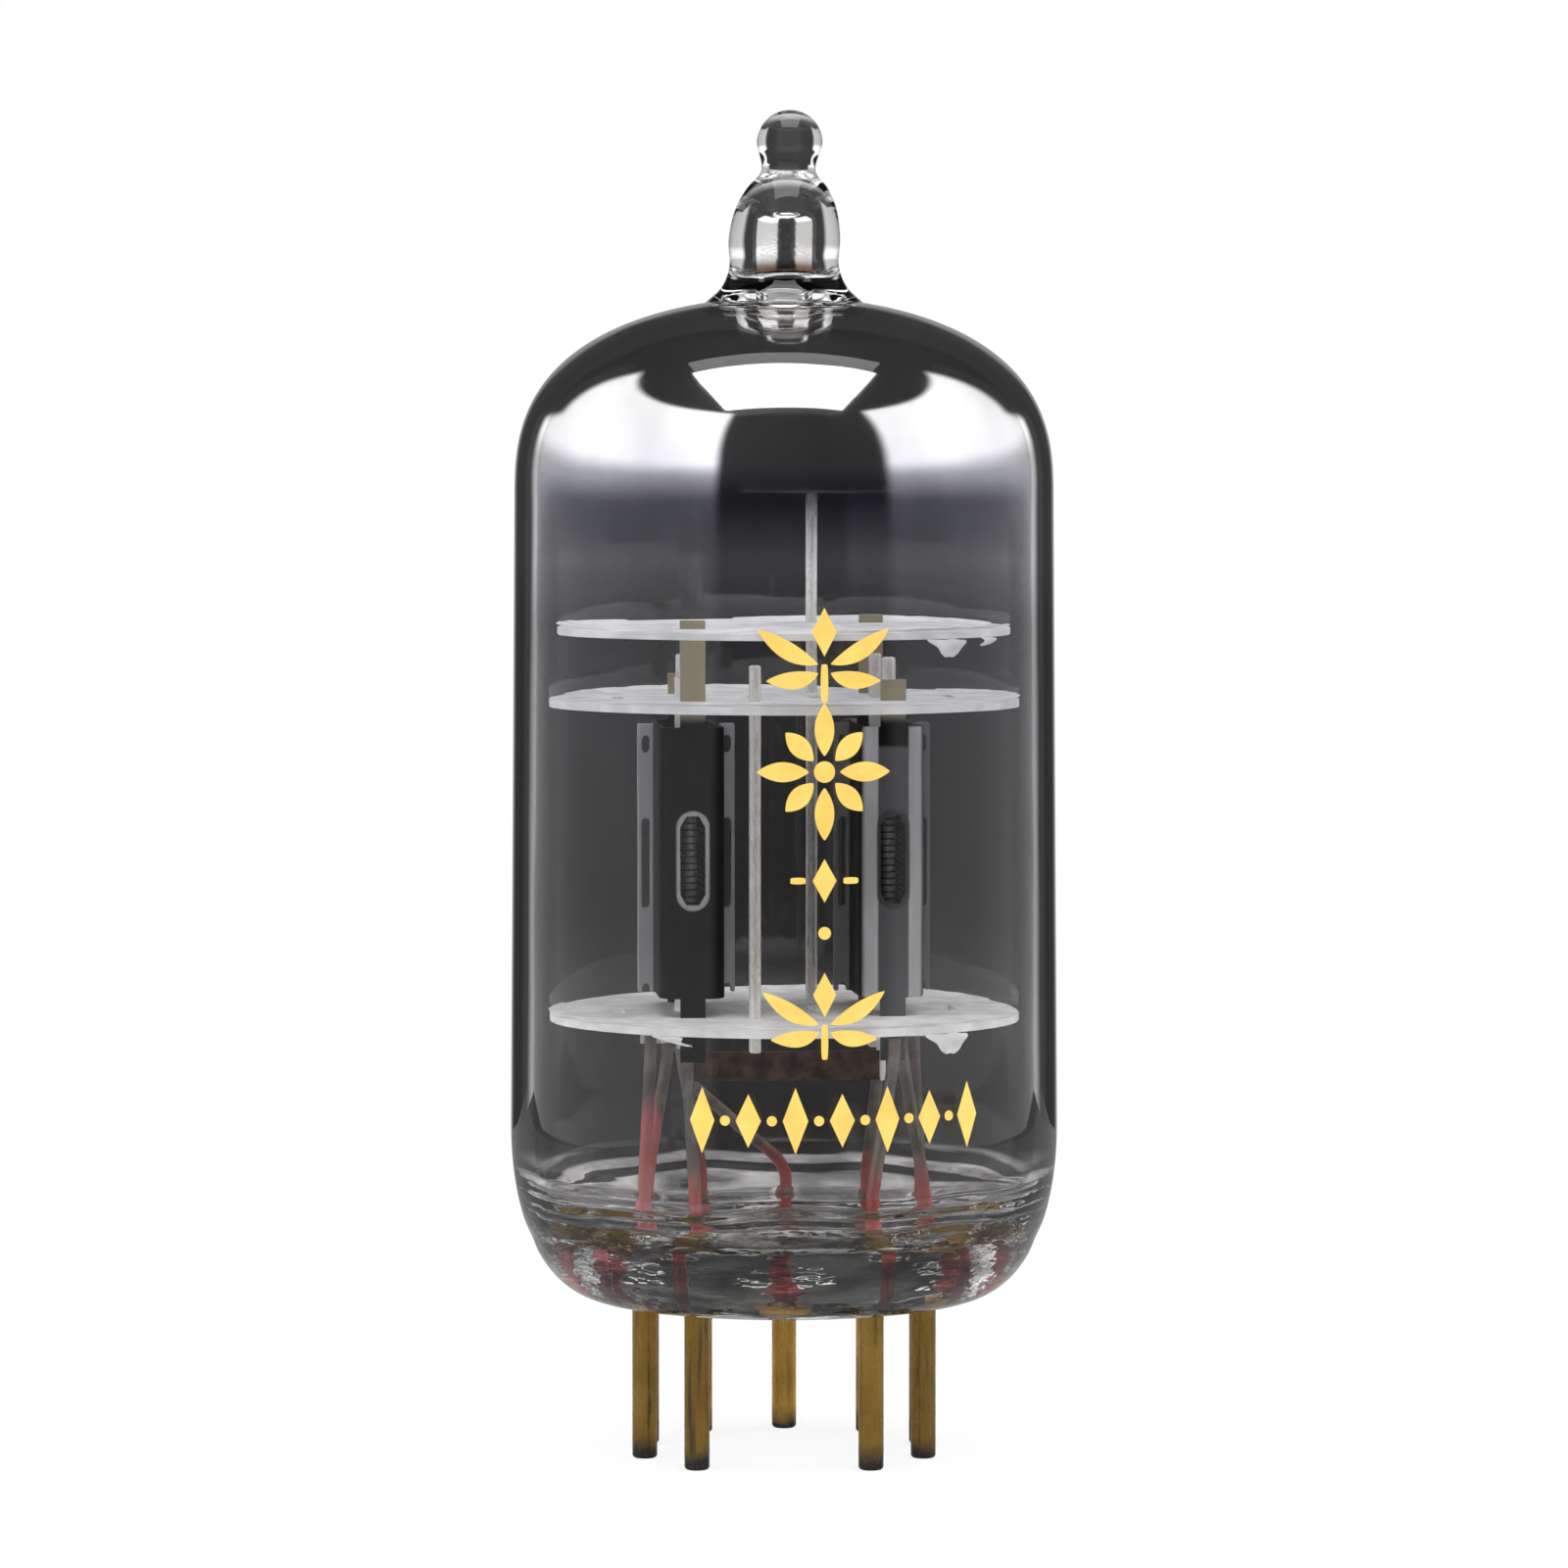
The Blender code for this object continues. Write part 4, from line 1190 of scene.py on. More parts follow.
def turned(profile: np.ndarray, segments: int, centre: tuple[float, float] = (0.0, 0.0)) -> np.ndarray:
    """Turn a profile about a vertical line: x = r cos a, y = r sin a, z as given.

    Args:
        profile: Radii and heights.
        segments: Steps round the circle.
        centre: Where the line stands.

    Returns:
        The grid, with a row for each profile point.
    """
    angle = np.linspace(0.0, math.tau, segments, endpoint=False)
    radius, height = profile[:, :1], np.repeat(profile[:, 1:], segments, axis=1)
    return np.stack(
        (centre[0] + radius * np.cos(angle), centre[1] + radius * np.sin(angle), height), axis=-1
    )


def capped(grid: np.ndarray) -> np.ndarray:
    """A grid of closed rows with both ends drawn together.

    Args:
        grid: Rows of points.

    Returns:
        The grid with a row more at each end.
    """
    middles = grid[[0, -1]].mean(axis=1, keepdims=True)
    ends = np.repeat(middles, grid.shape[1], axis=1)
    return np.concatenate((ends[:1], grid, ends[1:]))


def swept(path: np.ndarray, section: np.ndarray, across: Sequence[float]) -> np.ndarray:
    """Carry a closed section along a path, with both ends closed.

    At each point of the path the section's first axis is the tangent crossed with the given
    direction, and its second is the tangent crossed with the first.

    Args:
        path: Points along the path.
        section: Two offsets for each corner of the section.
        across: A direction that the path never runs along.

    Returns:
        The grid, with a row for each path point and one more at each end.
    """
    tangent = np.gradient(path, axis=0)
    tangent /= np.linalg.norm(tangent, axis=1, keepdims=True)
    first = np.cross(tangent, np.asarray(across, float))
    first /= np.linalg.norm(first, axis=1, keepdims=True)
    second = np.cross(tangent, first)
    body = (
        path[:, None, :]
        + section[None, :, :1] * first[:, None, :]
        + section[None, :, 1:] * second[:, None, :]
    )
    return capped(body)


def round_section(radius: float, corners: int) -> np.ndarray:
    """A round section: offsets r cos a and r sin a.

    Args:
        radius: Its radius.
        corners: Steps round it.

    Returns:
        The offsets.
    """
    angle = np.linspace(0.0, math.tau, corners, endpoint=False)
    return radius * np.stack((np.cos(angle), np.sin(angle)), axis=1)


def oblong(half_width: float, half_depth: float, corners: int, power: float = 2.0) -> np.ndarray:
    """A superellipse: offsets a |cos t|^(2/n) and b |sin t|^(2/n) with their signs.

    Args:
        half_width: Half size along the first axis.
        half_depth: Half size along the second.
        corners: Steps round it.
        power: 2 is an ellipse, and more is squarer.

    Returns:
        The offsets.
    """
    angle = np.linspace(0.0, math.tau, corners, endpoint=False)
    wave = np.stack((np.cos(angle), np.sin(angle)), axis=1)
    return np.array((half_width, half_depth)) * np.sign(wave) * np.abs(wave) ** (2.0 / power)


def smooth_curve(stations: Sequence[Sequence[float]], steps: int) -> np.ndarray:
    """A centripetal Catmull-Rom curve through the stations, ends included.

    Each span mixes its four knots in pairs by times that grow with the root of their distance.

    Args:
        stations: Points that the curve passes through.
        steps: Points to each span.

    Returns:
        The curve's points.
    """
    knots = np.asarray(stations, float)
    knots = np.vstack((2 * knots[0] - knots[1], knots, 2 * knots[-1] - knots[-2]))
    count = len(knots) - 3
    span = np.stack([knots[index : index + count] for index in range(4)])
    gaps = np.sqrt(np.linalg.norm(np.diff(span, axis=0), axis=2))
    times = np.concatenate((np.zeros((1, count)), np.cumsum(gaps, axis=0)))[..., None, None]
    share = np.linspace(0.0, 1.0, steps, endpoint=False)[None, :, None]
    time = times[1] + (times[2] - times[1]) * share
    level = [part[:, None, :] for part in span]
    for pairs in (((0, 1), (1, 2), (2, 3)), ((0, 2), (1, 3)), ((1, 2),)):
        level = [
            one + (other - one) * (time - times[start]) / (times[end] - times[start])
            for (start, end), one, other in zip(pairs, level, level[1:])
        ]
    return np.vstack((level[0].reshape(-1, knots.shape[1]), knots[-2]))


def respaced(curve: np.ndarray, count: int) -> np.ndarray:
    """The same curve with its points at even distances.

    Args:
        curve: Its points.
        count: How many points to give it.

    Returns:
        The new points.
    """
    run = np.concatenate(([0.0], np.cumsum(np.linalg.norm(np.diff(curve, axis=0), axis=1))))
    places = np.linspace(0.0, run[-1], count)
    return np.stack([np.interp(places, run, axis) for axis in curve.T], axis=1)


def spaced_in_parts(curve: np.ndarray, heights: Sequence[float], counts: Sequence[int]) -> np.ndarray:
    """Points that are evenly spaced within each part of a rising curve.

    Args:
        curve: Points as (radius, height), rising.
        heights: Heights at which one part ends and the next begins.
        counts: Number of points in each part, its two ends included.

    Returns:
        The points.
    """
    ends = [0, *np.searchsorted(curve[:, 1], heights), len(curve) - 1]
    rows = [
        respaced(curve[low : high + 1], count)[:-1]
        for low, high, count in zip(ends[:-1], ends[1:], counts, strict=True)
    ]
    return np.vstack((*rows, curve[-1:]))


def turned_about_axis(
    points: np.ndarray, angle: float, centre: tuple[float, float] = (0.0, 0.0)
) -> np.ndarray:
    """Points shifted to a centre and then turned about the tube's axis.

    Args:
        points: Any array whose last axis is x, y and z.
        angle: The turn in radians.
        centre: The shift made first.

    Returns:
        The moved points.
    """
    x, y = points[..., 0] + centre[0], points[..., 1] + centre[1]
    cos, sin = math.cos(angle), math.sin(angle)
    return np.stack((x * cos - y * sin, x * sin + y * cos, points[..., 2]), axis=-1)


# Glass and the films on it


@dataclass
class PinCircle:
    """Where the nine pins and their leads stand.

    Attributes:
        radius: Radius of the circle.
        places: Places on it, of which the first is left out.
    """

    radius: float = 5.945 * MM
    places: int = 10

    def spots(self) -> np.ndarray:
        """Pin 1 to pin 9: x = R sin a and y = -R cos a at every tenth of a turn but the first.

        Returns:
            Nine rows of x and y.
        """
        turn = math.tau * np.arange(1, self.places) / self.places
        return self.radius * np.stack((np.sin(turn), -np.cos(turn)), axis=1)


@dataclass
class GlassOutline:
    """The outside and inside outlines of the glass, as radius and height."""

    wall: float = 0.9 * MM
    radius: float = 11.13 * MM
    taper: float = 0.2 * MM
    bend_z: float = 13.6 * MM
    bottom_z: float = 6.4 * MM
    flat_radius: float = 7.2 * MM
    shoulder_z: float = 38.8 * MM
    dome_height: float = 8.25 * MM
    tip_root: float = 3.2 * MM
    tip_height: float = 7.55 * MM
    swell: float = 2.26 * MM
    neck: float = 1.1 * MM
    ball: float = 1.33 * MM
    bend_power: float = 2.2
    power_across: float = 2.1
    power_up: float = 2.8

    @property
    def dome_top_z(self) -> float:
        """Height of the dome's crown without its tip."""
        return self.shoulder_z + self.dome_height

    @property
    def tip_top_z(self) -> float:
        """Height of the exhaust tip."""
        return self.dome_top_z + self.tip_height

    def lower_bend(self) -> np.ndarray:
        """Quarter of a superellipse: r = flat + reach sin(t)^(2/n), z = bend - rise cos(t)^(2/n).

        Returns:
            Radii and heights, upwards.
        """
        turn = np.linspace(0.0, math.pi / 2, 160)
        power = 2.0 / self.bend_power
        radius = self.flat_radius + (self.radius - self.flat_radius) * np.sin(turn) ** power
        height = self.bend_z - (self.bend_z - self.bottom_z) * np.clip(np.cos(turn), 0.0, 1.0) ** power
        return np.stack((radius, height), axis=1)

    def dome(self) -> np.ndarray:
        """Part of a superellipse: r = R cos(t)^(2/m), z = shoulder + height sin(t)^(2/n).

        Returns:
            Radii and heights, upwards to the root of the tip.
        """
        radius = self.radius - self.taper
        last = math.acos((self.tip_root / radius) ** (self.power_across / 2))
        turn = last * np.linspace(0.0, 1.0, 300) ** 1.5
        return np.stack(
            (
                radius * np.cos(turn) ** (2 / self.power_across),
                self.shoulder_z + self.dome_height * np.sin(turn) ** (2 / self.power_up),
            ),
            axis=1,
        )

    def body(self) -> np.ndarray:
        """Outside from the underside to the root of the tip, evenly spaced.

        Returns:
            Radii and heights.
        """
        return respaced(np.vstack((self.lower_bend(), self.dome())), 420)

    def inside(self, gap: float = 0.0) -> np.ndarray:
        """The body's outline moved inwards by the wall and a gap, along its normal.

        Args:
            gap: Room to leave to the glass.

        Returns:
            Radii and heights.
        """
        body = self.body()
        along = np.gradient(body, axis=0)
        along /= np.linalg.norm(along, axis=1, keepdims=True)
        return body + (self.wall + gap) * np.stack((-along[:, 1], along[:, 0]), axis=1)

    def tip(self) -> np.ndarray:
        """The tip's outline through its waist, swell, drawn neck and sealed ball.

        Returns:
            Radii and heights, upwards to the axis.
        """
        base, ball_z = self.dome_top_z, self.tip_top_z - self.ball
        rise = ball_z - base
        turn = np.radians(np.linspace(12.0, 90.0, 9))
        ball = np.stack((self.ball * np.cos(turn), ball_z + self.ball * np.sin(turn)), axis=1)
        stations = [
            self.dome()[-1],
            (self.swell * 1.11, base + 0.07 * rise),
            (self.swell * 0.98, base + 0.2 * rise),
            (self.swell, base + 0.38 * rise),
            (self.swell * 0.9, base + 0.58 * rise),
            (self.swell * 0.72, base + 0.71 * rise),
            (self.neck, base + 0.82 * rise),
            (self.ball, ball_z),
            *ball,
        ]
        curve = smooth_curve(stations, 10)
        curve[-1, 0] = 0.0
        return respaced(curve, 90)


@dataclass
class Envelope:
    """The sealed glass: bulb, tip and the button that the pins stand in, fused in one.

    Attributes:
        outline: Outlines of the glass.
        pins: Where the pins stand.
        segments: Steps round the axis.
        straight: Heights between which the wall is nearly straight and needs few rows.
        dish_radius: Radius of the hollow under the button.
        dish_depth: Its depth.
        stem_top: Height of the button's top inside.
        collar_height: Height of the glass collar round each lead.
        foot_height: How far the glass runs down each pin.
        tube_end_drop: How far the exhaust tube's end reaches below the crown.
        tube_end_radius: Outer radius of that end.
        bore_radius: Radius of the tube's bore.
        bore_height: How far the bore reaches above the crown.
    """

    outline: GlassOutline = field(default_factory=GlassOutline)
    pins: PinCircle = field(default_factory=PinCircle)
    segments: int = 176
    straight: tuple[float, float] = (14.5 * MM, 38.0 * MM)
    dish_radius: float = 4.4 * MM
    dish_depth: float = 0.25 * MM
    stem_top: float = 9.5 * MM
    collar_height: float = 0.7 * MM
    foot_height: float = 0.22 * MM
    tube_end_drop: float = 1.75 * MM
    tube_end_radius: float = 1.85 * MM
    bore_radius: float = 0.8 * MM
    bore_height: float = 3.3 * MM

    def build(self) -> None:
        """Build the glass and its films."""
        outer = Surface(self._leaning(self._outside()))
        inner = Surface(self._leaning(self._inside()), is_cavity=True)
        make_piece(
            "glass_envelope",
            (outer, inner),
            GLASS_WITH_PAINTED_SHADE,
            ("glass_bulb", "glass_stem"),
            sharp=80.0,
        )
        self._film()
        self._bore_film()

    def _near_pins(self, grid: np.ndarray, reach: float) -> np.ndarray:
        """A bump at each pin: exp(-(d / reach)^4) at a distance d from the nearest pin.

        Args:
            grid: Points.
            reach: Radius of the bump.

        Returns:
            The bump's height from 0 to 1 at each point.
        """
        gap = grid[..., None, :2] - self.pins.spots()
        distance = np.linalg.norm(gap, axis=-1).min(axis=-1)
        return np.exp(-((distance / reach) ** 4))

    def _outside(self) -> np.ndarray:
        """The outer surface: dish, flat, bend, wall, dome and tip, with a foot of glass at each pin.

        Returns:
            The grid.
        """
        low = self.outline.bottom_z
        dish = smooth_curve(
            [
                (0.0, low + self.dish_depth),
                (self.dish_radius * 0.75, low + self.dish_depth),
                (self.dish_radius, low + self.dish_depth * 0.9),
                (self.dish_radius + self.dish_depth, low + 0.02 * MM),
                (self.dish_radius + 2 * self.dish_depth, low),
                (self.outline.flat_radius, low),
            ],
            12,
        )
        body = spaced_in_parts(self.outline.body(), self.straight, (61, 14, 66))
        profile = np.vstack((dish[:-1], body, self.outline.tip()[1:]))
        grid = turned(profile, self.segments)
        ripple = np.exp(-(((profile[:, 1] - 8.9 * MM) / (0.45 * MM)) ** 2))[:, None, None]
        grid[..., :2] *= 1.0 - 0.005 * ripple
        wave = np.cos(5.0 * np.arctan2(grid[..., 1], grid[..., 0]) + 1.3)
        root = np.exp(-(((grid[..., 2] - 47.6 * MM) / (0.7 * MM)) ** 2))
        grid[..., :2] *= (1.0 + 0.02 * root * wave)[..., None]
        is_under = grid[..., 2] < low + 1.2 * MM
        grid[..., 2] -= self.foot_height * self._near_pins(grid, 0.85 * MM) * is_under
        return grid

    def _inside(self) -> np.ndarray:
        """The cavity: button top with a collar at each lead, wall, dome, tube end and bore.

        Returns:
            The grid.
        """
        inside = self.outline.inside()
        wall = spaced_in_parts(
            inside[inside[:, 1] > self.stem_top + 1.3 * MM], self.straight, (20, 14, 64)
        )
        reach = np.interp(self.stem_top + 0.6 * MM, inside[:, 1], inside[:, 0])
        button = smooth_curve(
            [
                (0.0, self.stem_top),
                (reach * 0.4, self.stem_top),
                (reach * 0.8, self.stem_top - 0.02 * MM),
                (reach - 0.75 * MM, self.stem_top + 0.05 * MM),
                (reach - 0.22 * MM, self.stem_top + 0.4 * MM),
                wall[0],
            ],
            16,
        )
        crown = wall[-1]
        end_z = self.outline.dome_top_z - self.tube_end_drop
        top_z = self.outline.dome_top_z + self.bore_height
        lip = (self.tube_end_radius - self.bore_radius) / 2
        tube = smooth_curve(
            [
                crown,
                (self.tube_end_radius + lip, crown[1] - 0.02 * MM),
                (self.tube_end_radius, (crown[1] + end_z) / 2),
                (self.tube_end_radius, end_z + lip),
                (self.tube_end_radius - lip * 0.7, end_z),
                (self.bore_radius + lip * 0.3, end_z + 0.02 * MM),
                (self.bore_radius, end_z + lip),
                (self.bore_radius * 0.96, (end_z + top_z) / 2),
                (self.bore_radius, top_z - self.bore_radius),
                (self.bore_radius * 0.93, top_z - self.bore_radius * 0.3),
                (self.bore_radius * 0.6, top_z - self.bore_radius * 0.06),
                (0.0, top_z),
            ],
            9,
        )
        tube[-1, 0] = 0.0
        grid = turned(np.vstack((button[:-1], wall[:-1], tube)), self.segments)
        is_button = grid[..., 2] < self.stem_top + 0.6 * MM
        grid[..., 2] += self.collar_height * self._near_pins(grid, 0.62 * MM) * is_button
        angle = np.arctan2(grid[..., 1], grid[..., 0])
        wander = grid[..., 2] / MM * 7.5 + 0.9 * np.sin(2.0 * angle + 0.6)
        wander = wander + 0.5 * np.sin(5.0 * angle) + 0.6 * np.sin(9.0 * angle)
        ring = np.sin(wander) * np.exp(-(((grid[..., 2] - 10.7 * MM) / (0.7 * MM)) ** 2))
        grid[..., :2] *= (1.0 + 0.011 * ring)[..., None]
        return grid

    def _leaning(self, grid: np.ndarray) -> np.ndarray:
        """The tip leans a little: x grows by a smooth step of height above the dome.

        Args:
            grid: Points.

        Returns:
            The points, leaning.
        """
        share = np.clip((grid[..., 2] - 48.5 * MM) / (5.5 * MM), 0.0, 1.0)
        grid[..., 0] += 0.24 * MM * share**2 * (3.0 - 2.0 * share)
        return grid

    def _film(self) -> None:
        """The getter film: two skins on the inside of the dome, a hair apart."""
        skins = []
        for gap in (0.03 * MM, 0.05 * MM):
            line = self.outline.inside(gap)
            line = line[(line[:, 1] > 36.4 * MM) & (line[:, 0] > 2.9 * MM)]
            skins.append(respaced(line, 80))
        outline = np.vstack((skins[0], skins[1][::-1]))
        film = Surface(turned(outline, 160), rows_meet=True)
        make_piece("getter_film", (film,), GETTER_FILM, ("getter_flash",), sharp=60.0)

    def _bore_film(self) -> None:
        """Film that reached the top of the bore: a cap that has sunk into the glass."""
        top = self.outline.dome_top_z + self.bore_height + 0.05 * MM
        radius = self.bore_radius + 0.05 * MM
        outside = smooth_curve(
            [
                (radius * 0.98, top - 2.55 * MM),
                (radius, top - radius),
                (radius * 0.93, top - radius * 0.3),
                (radius * 0.6, top - radius * 0.06),
                (0.0, top),
            ],
            10,
        )
        outside[-1, 0] = 0.0
        inside = outside[::-1] * (0.98, 1.0) - (0.0, 0.02 * MM)
        cap = Surface(self._leaning(turned(np.vstack((outside, inside)), 64)), rows_meet=True)
        make_piece("bore_film", (cap,), BORE_FILM, sharp=60.0)


# Pins and leads


@dataclass
class PinSet:
    """Nine gold-plated pins.

    Attributes:
        pins: Where they stand.
        radius: Radius of a pin.
        length: Its length, head included.
        chamfer: Size of the rounding at its end.
    """

    pins: PinCircle = field(default_factory=PinCircle)
    radius: float = 0.508 * MM
    length: float = 7.7 * MM
    chamfer: float = 0.16 * MM

    def build(self) -> None:
        """Build the pins, each turned: a flat end, a rounded edge, and a shank with faint die marks."""
        turn = np.linspace(0.0, math.pi / 2, 6)
        inwards, upwards = 1.0 - np.sin(turn), 1.0 - np.cos(turn)
        edge = np.stack((self.radius - self.chamfer * inwards, self.chamfer * upwards), axis=1)
        height = np.linspace(self.chamfer * 1.5, self.length, 60)
        marks = 0.006 * MM * np.sin(height / MM * 7.3) * np.sin(height / MM * 2.9 + 1.0)
        shank = np.stack((self.radius - np.abs(marks), height), axis=1)
        profile = np.vstack(((0.0, 0.0), edge, shank, (0.0, self.length)))
        for number, (x, y) in enumerate(self.pins.spots(), start=1):
            pin = Surface(turned(profile, 40, (x, y)))
            make_piece(f"gold_pin_{number}", (pin,), GOLD_PLATE, (f"pin_{number}",))


@dataclass
class LeadSet:
    """Nine inner leads, straight in the glass and bent over to their welds.

    Attributes:
        pins: Where their feet stand.
        radius: Radius of the wire.
        foot_z: Height of the foot in the glass.
        knee_z: Height at which a lead starts to bend.
        straight: Length of the straight stretch at the weld.
        turn: How far the cage is turned.
        welds: Across, along and height of each weld in the cage's frame.
    """

    pins: PinCircle = field(default_factory=PinCircle)
    radius: float = 0.25 * MM
    foot_z: float = 7.73 * MM
    knee_z: float = 10.8 * MM
    straight: float = 0.6 * MM
    turn: float = CAGE_TURN
    welds: tuple[Place, ...] = (
        (4.0, -3.88, 17.25),
        (4.56, -2.1, 17.25),
        (5.54, 1.29, 17.25),
        (4.0, 0.99, 16.1),
        (-4.0, 0.99, 16.1),
        (-4.0, 3.88, 17.25),
        (-4.56, 2.1, 17.25),
        (-5.54, -1.29, 17.25),
        (-4.0, -0.99, 16.1),
    )

    def build(self) -> None:
        """Build the leads: a round section carried along each route."""
        ends = turned_about_axis(np.array(self.welds) * MM, self.turn)
        section = round_section(1.0, 18)
        for number, (foot, end) in enumerate(zip(self.pins.spots(), ends), start=1):
            route = self._route(foot, end)
            away = np.cross((0.0, 0.0, 1.0), (*(end[:2] - foot), 0.0))
            grid = swept(route, section * self.radius, away)
            node = f"lead_{number}"
            make_piece("clad_" + node, (Surface(grid),), CLAD_LEAD, (node,))

    def _route(self, foot: np.ndarray, end: np.ndarray) -> np.ndarray:
        """A lead's route: up from its foot to the knee, over, and up again to the weld.

        Args:
            foot: Where the pin stands.
            end: The weld.

        Returns:
            Points along the route.
        """
        knee = np.array((*foot, self.knee_z))
        below = end - (0.0, 0.0, self.straight)
        stations = [
            (*foot, self.foot_z),
            (*foot, (self.foot_z + self.knee_z) / 2),
            knee,
            (knee + below) / 2,
            below,
            end,
        ]
        return respaced(smooth_curve(stations, 16), 70)


# Cage


@dataclass
class MicaStack:
    """Three mica discs with the split layers and bent flakes at their rims.

    Attributes:
        thickness: Thickness of a disc.
        discs: Radius and height of the underside of each disc, by node.
    """

    thickness: float = 0.3 * MM
    discs: dict[str, tuple[float, float]] = field(
        default_factory=lambda: {
            "mica_lower": (9.56 * MM, 17.85 * MM),
            "mica_upper": (9.56 * MM, 30.55 * MM),
            "mica_top": (9.2 * MM, 33.45 * MM),
        }
    )

    def build(self) -> None:
        """Build the discs and what has split off them."""
        for index, (node, (radius, bottom)) in enumerate(self.discs.items()):
            eased_copy(node, SPLIT_MICA, 0.04 * MM, node + "_disc")
            layers = [self._layer(radius, bottom, phase + index) for phase in (0.4, 2.9, 4.6)]
            make_piece(node + "_layers", layers, SPLIT_MICA, sharp=50.0)
        flakes = [
            self._flake(9.15 * MM, 33.42 * MM, math.radians(-47.0), 2.0 * MM, 0.7 * MM),
            self._flake(9.1 * MM, 33.44 * MM, math.radians(-30.0), 1.2 * MM, 0.35 * MM),
            self._flake(9.5 * MM, 17.82 * MM, math.radians(-49.0), 2.1 * MM, 0.85 * MM),
            self._flake(9.5 * MM, 17.84 * MM, math.radians(-118.0), 1.3 * MM, 0.4 * MM),
        ]
        make_piece("mica_flakes", flakes, SPLIT_MICA, sharp=50.0)

    def _layer(self, radius: float, bottom: float, phase: float) -> Surface:
        """A split layer that lifts off the rim over part of its round.

        It is a strip along the rim. Its width and lift swell and fade as sin(pi s), with
        a few waves on its outer edge.

        Args:
            radius: Radius of the disc.
            bottom: Height of the disc's underside.
            phase: Where on the rim it starts, in radians.

        Returns:
            The strip, closed at its ends.
        """
        along = np.linspace(0.0, 1.0, 90)[:, None]
        swell = np.sin(math.pi * along)
        angle = phase + 1.5 * along
        waves = np.sin(31.0 * angle) * 0.4 + np.sin(57.0 * angle + 1.0) * 0.25
        outer = radius + (0.03 + 0.06 * waves) * MM * swell
        inner = radius - (0.25 + 0.75 * swell) * MM
        lift = (0.05 + 0.11 * swell + 0.03 * waves * swell) * MM
        top = bottom + self.thickness
        rise = (0 * lift, lift, lift * 0.85, 0 * lift - 0.02 * MM)
        height = top + np.concatenate(rise, axis=1)
        distance = np.concatenate((inner, outer, outer - 0.01 * MM, inner), axis=1)
        grid = np.stack((distance * np.cos(angle), distance * np.sin(angle), height), axis=-1)
        return Surface(capped(grid))

    def _flake(self, radius: float, top: float, angle: float, length: float, drop: float) -> Surface:
        """A flake that hangs off the rim, curling outwards as it drops.

        Its width narrows to a ragged point along its drop.

        Args:
            radius: Radius at which it hangs.
            top: Height of its root.
            angle: Where on the rim it hangs.
            length: Its length along the rim.
            drop: How far it reaches down.

        Returns:
            The flake, closed all round.
        """
        down = np.linspace(0.0, 1.0, 16)[:, None]
        across = np.linspace(-1.0, 1.0, 24)[None, :]
        narrow = 1.0 - 0.75 * down**1.4 + 0.06 * np.sin(9.0 * down)
        place = angle + across * narrow * length / 2 / radius + 0.07 * down**2
        reach = radius + (0.12 * np.sin(math.pi * down) - 0.5 * down**2) * MM + 0.05 * MM * across**2
        height = top - drop * down**1.2 + 0.03 * MM * np.sin(5.0 * across)
        front = np.stack((reach * np.cos(place), reach * np.sin(place), height + 0 * place), axis=-1)
        back = front * (1.0 - 0.03 * MM / radius, 1.0 - 0.03 * MM / radius, 1.0)
        return Surface(capped(np.concatenate((front, back[:, ::-1]), axis=1)))


@dataclass
class Posts:
    """The bright support rod in front and the getter's post behind.

    Attributes:
        turn: How far the cage is turned.
        across: How far each stands along the cage's X.
        along: How far each stands along its Y.
        radius: Radius of both.
        low: Height of their lower ends.
        tops: Height of the upper end by node.
    """

    turn: float = CAGE_TURN
    across: float = 1.58 * MM
    along: float = 4.05 * MM
    radius: float = 0.24 * MM
    low: float = 16.75 * MM
    tops: dict[str, float] = field(
        default_factory=lambda: {"support_rod": 32.3 * MM, "getter_post": 39.12 * MM}
    )

    def build(self) -> None:
        """Build both as turned rods with rounded ends."""
        for node, side in (("support_rod", -1), ("getter_post", 1)):
            spot = np.array((side * self.across, side * self.along, 0.0))
            spot = turned_about_axis(spot, self.turn)
            rod = rod_profile(self.radius, self.low, self.tops[node], 0.1 * MM)
            grid = turned(rod, 28, (spot[0], spot[1]))
            make_piece("bright_" + node, (Surface(grid),), BRIGHT_NICKEL, (node,))


def rod_profile(radius: float, low: float, high: float, rounding: float) -> np.ndarray:
    """A rod's outline with a quarter circle at each end.

    Args:
        radius: The rod's radius.
        low: Height of its lower end.
        high: Height of its upper end.
        rounding: Radius of the quarter circles.

    Returns:
        Radii and heights from the axis to the axis.
    """
    turn = np.linspace(0.0, math.pi / 2, 5)
    across = radius - rounding * (1.0 - np.sin(turn))
    rise = rounding * (1.0 - np.cos(turn))
    lower = np.stack((across, low + rise), axis=1)
    upper = np.stack((across, high - rise), axis=1)[::-1]
    middle = np.stack((np.full(12, radius), np.linspace(low, high, 14)[1:-1]), axis=1)
    return np.vstack(((0.0, low), lower, middle, upper, (0.0, high)))


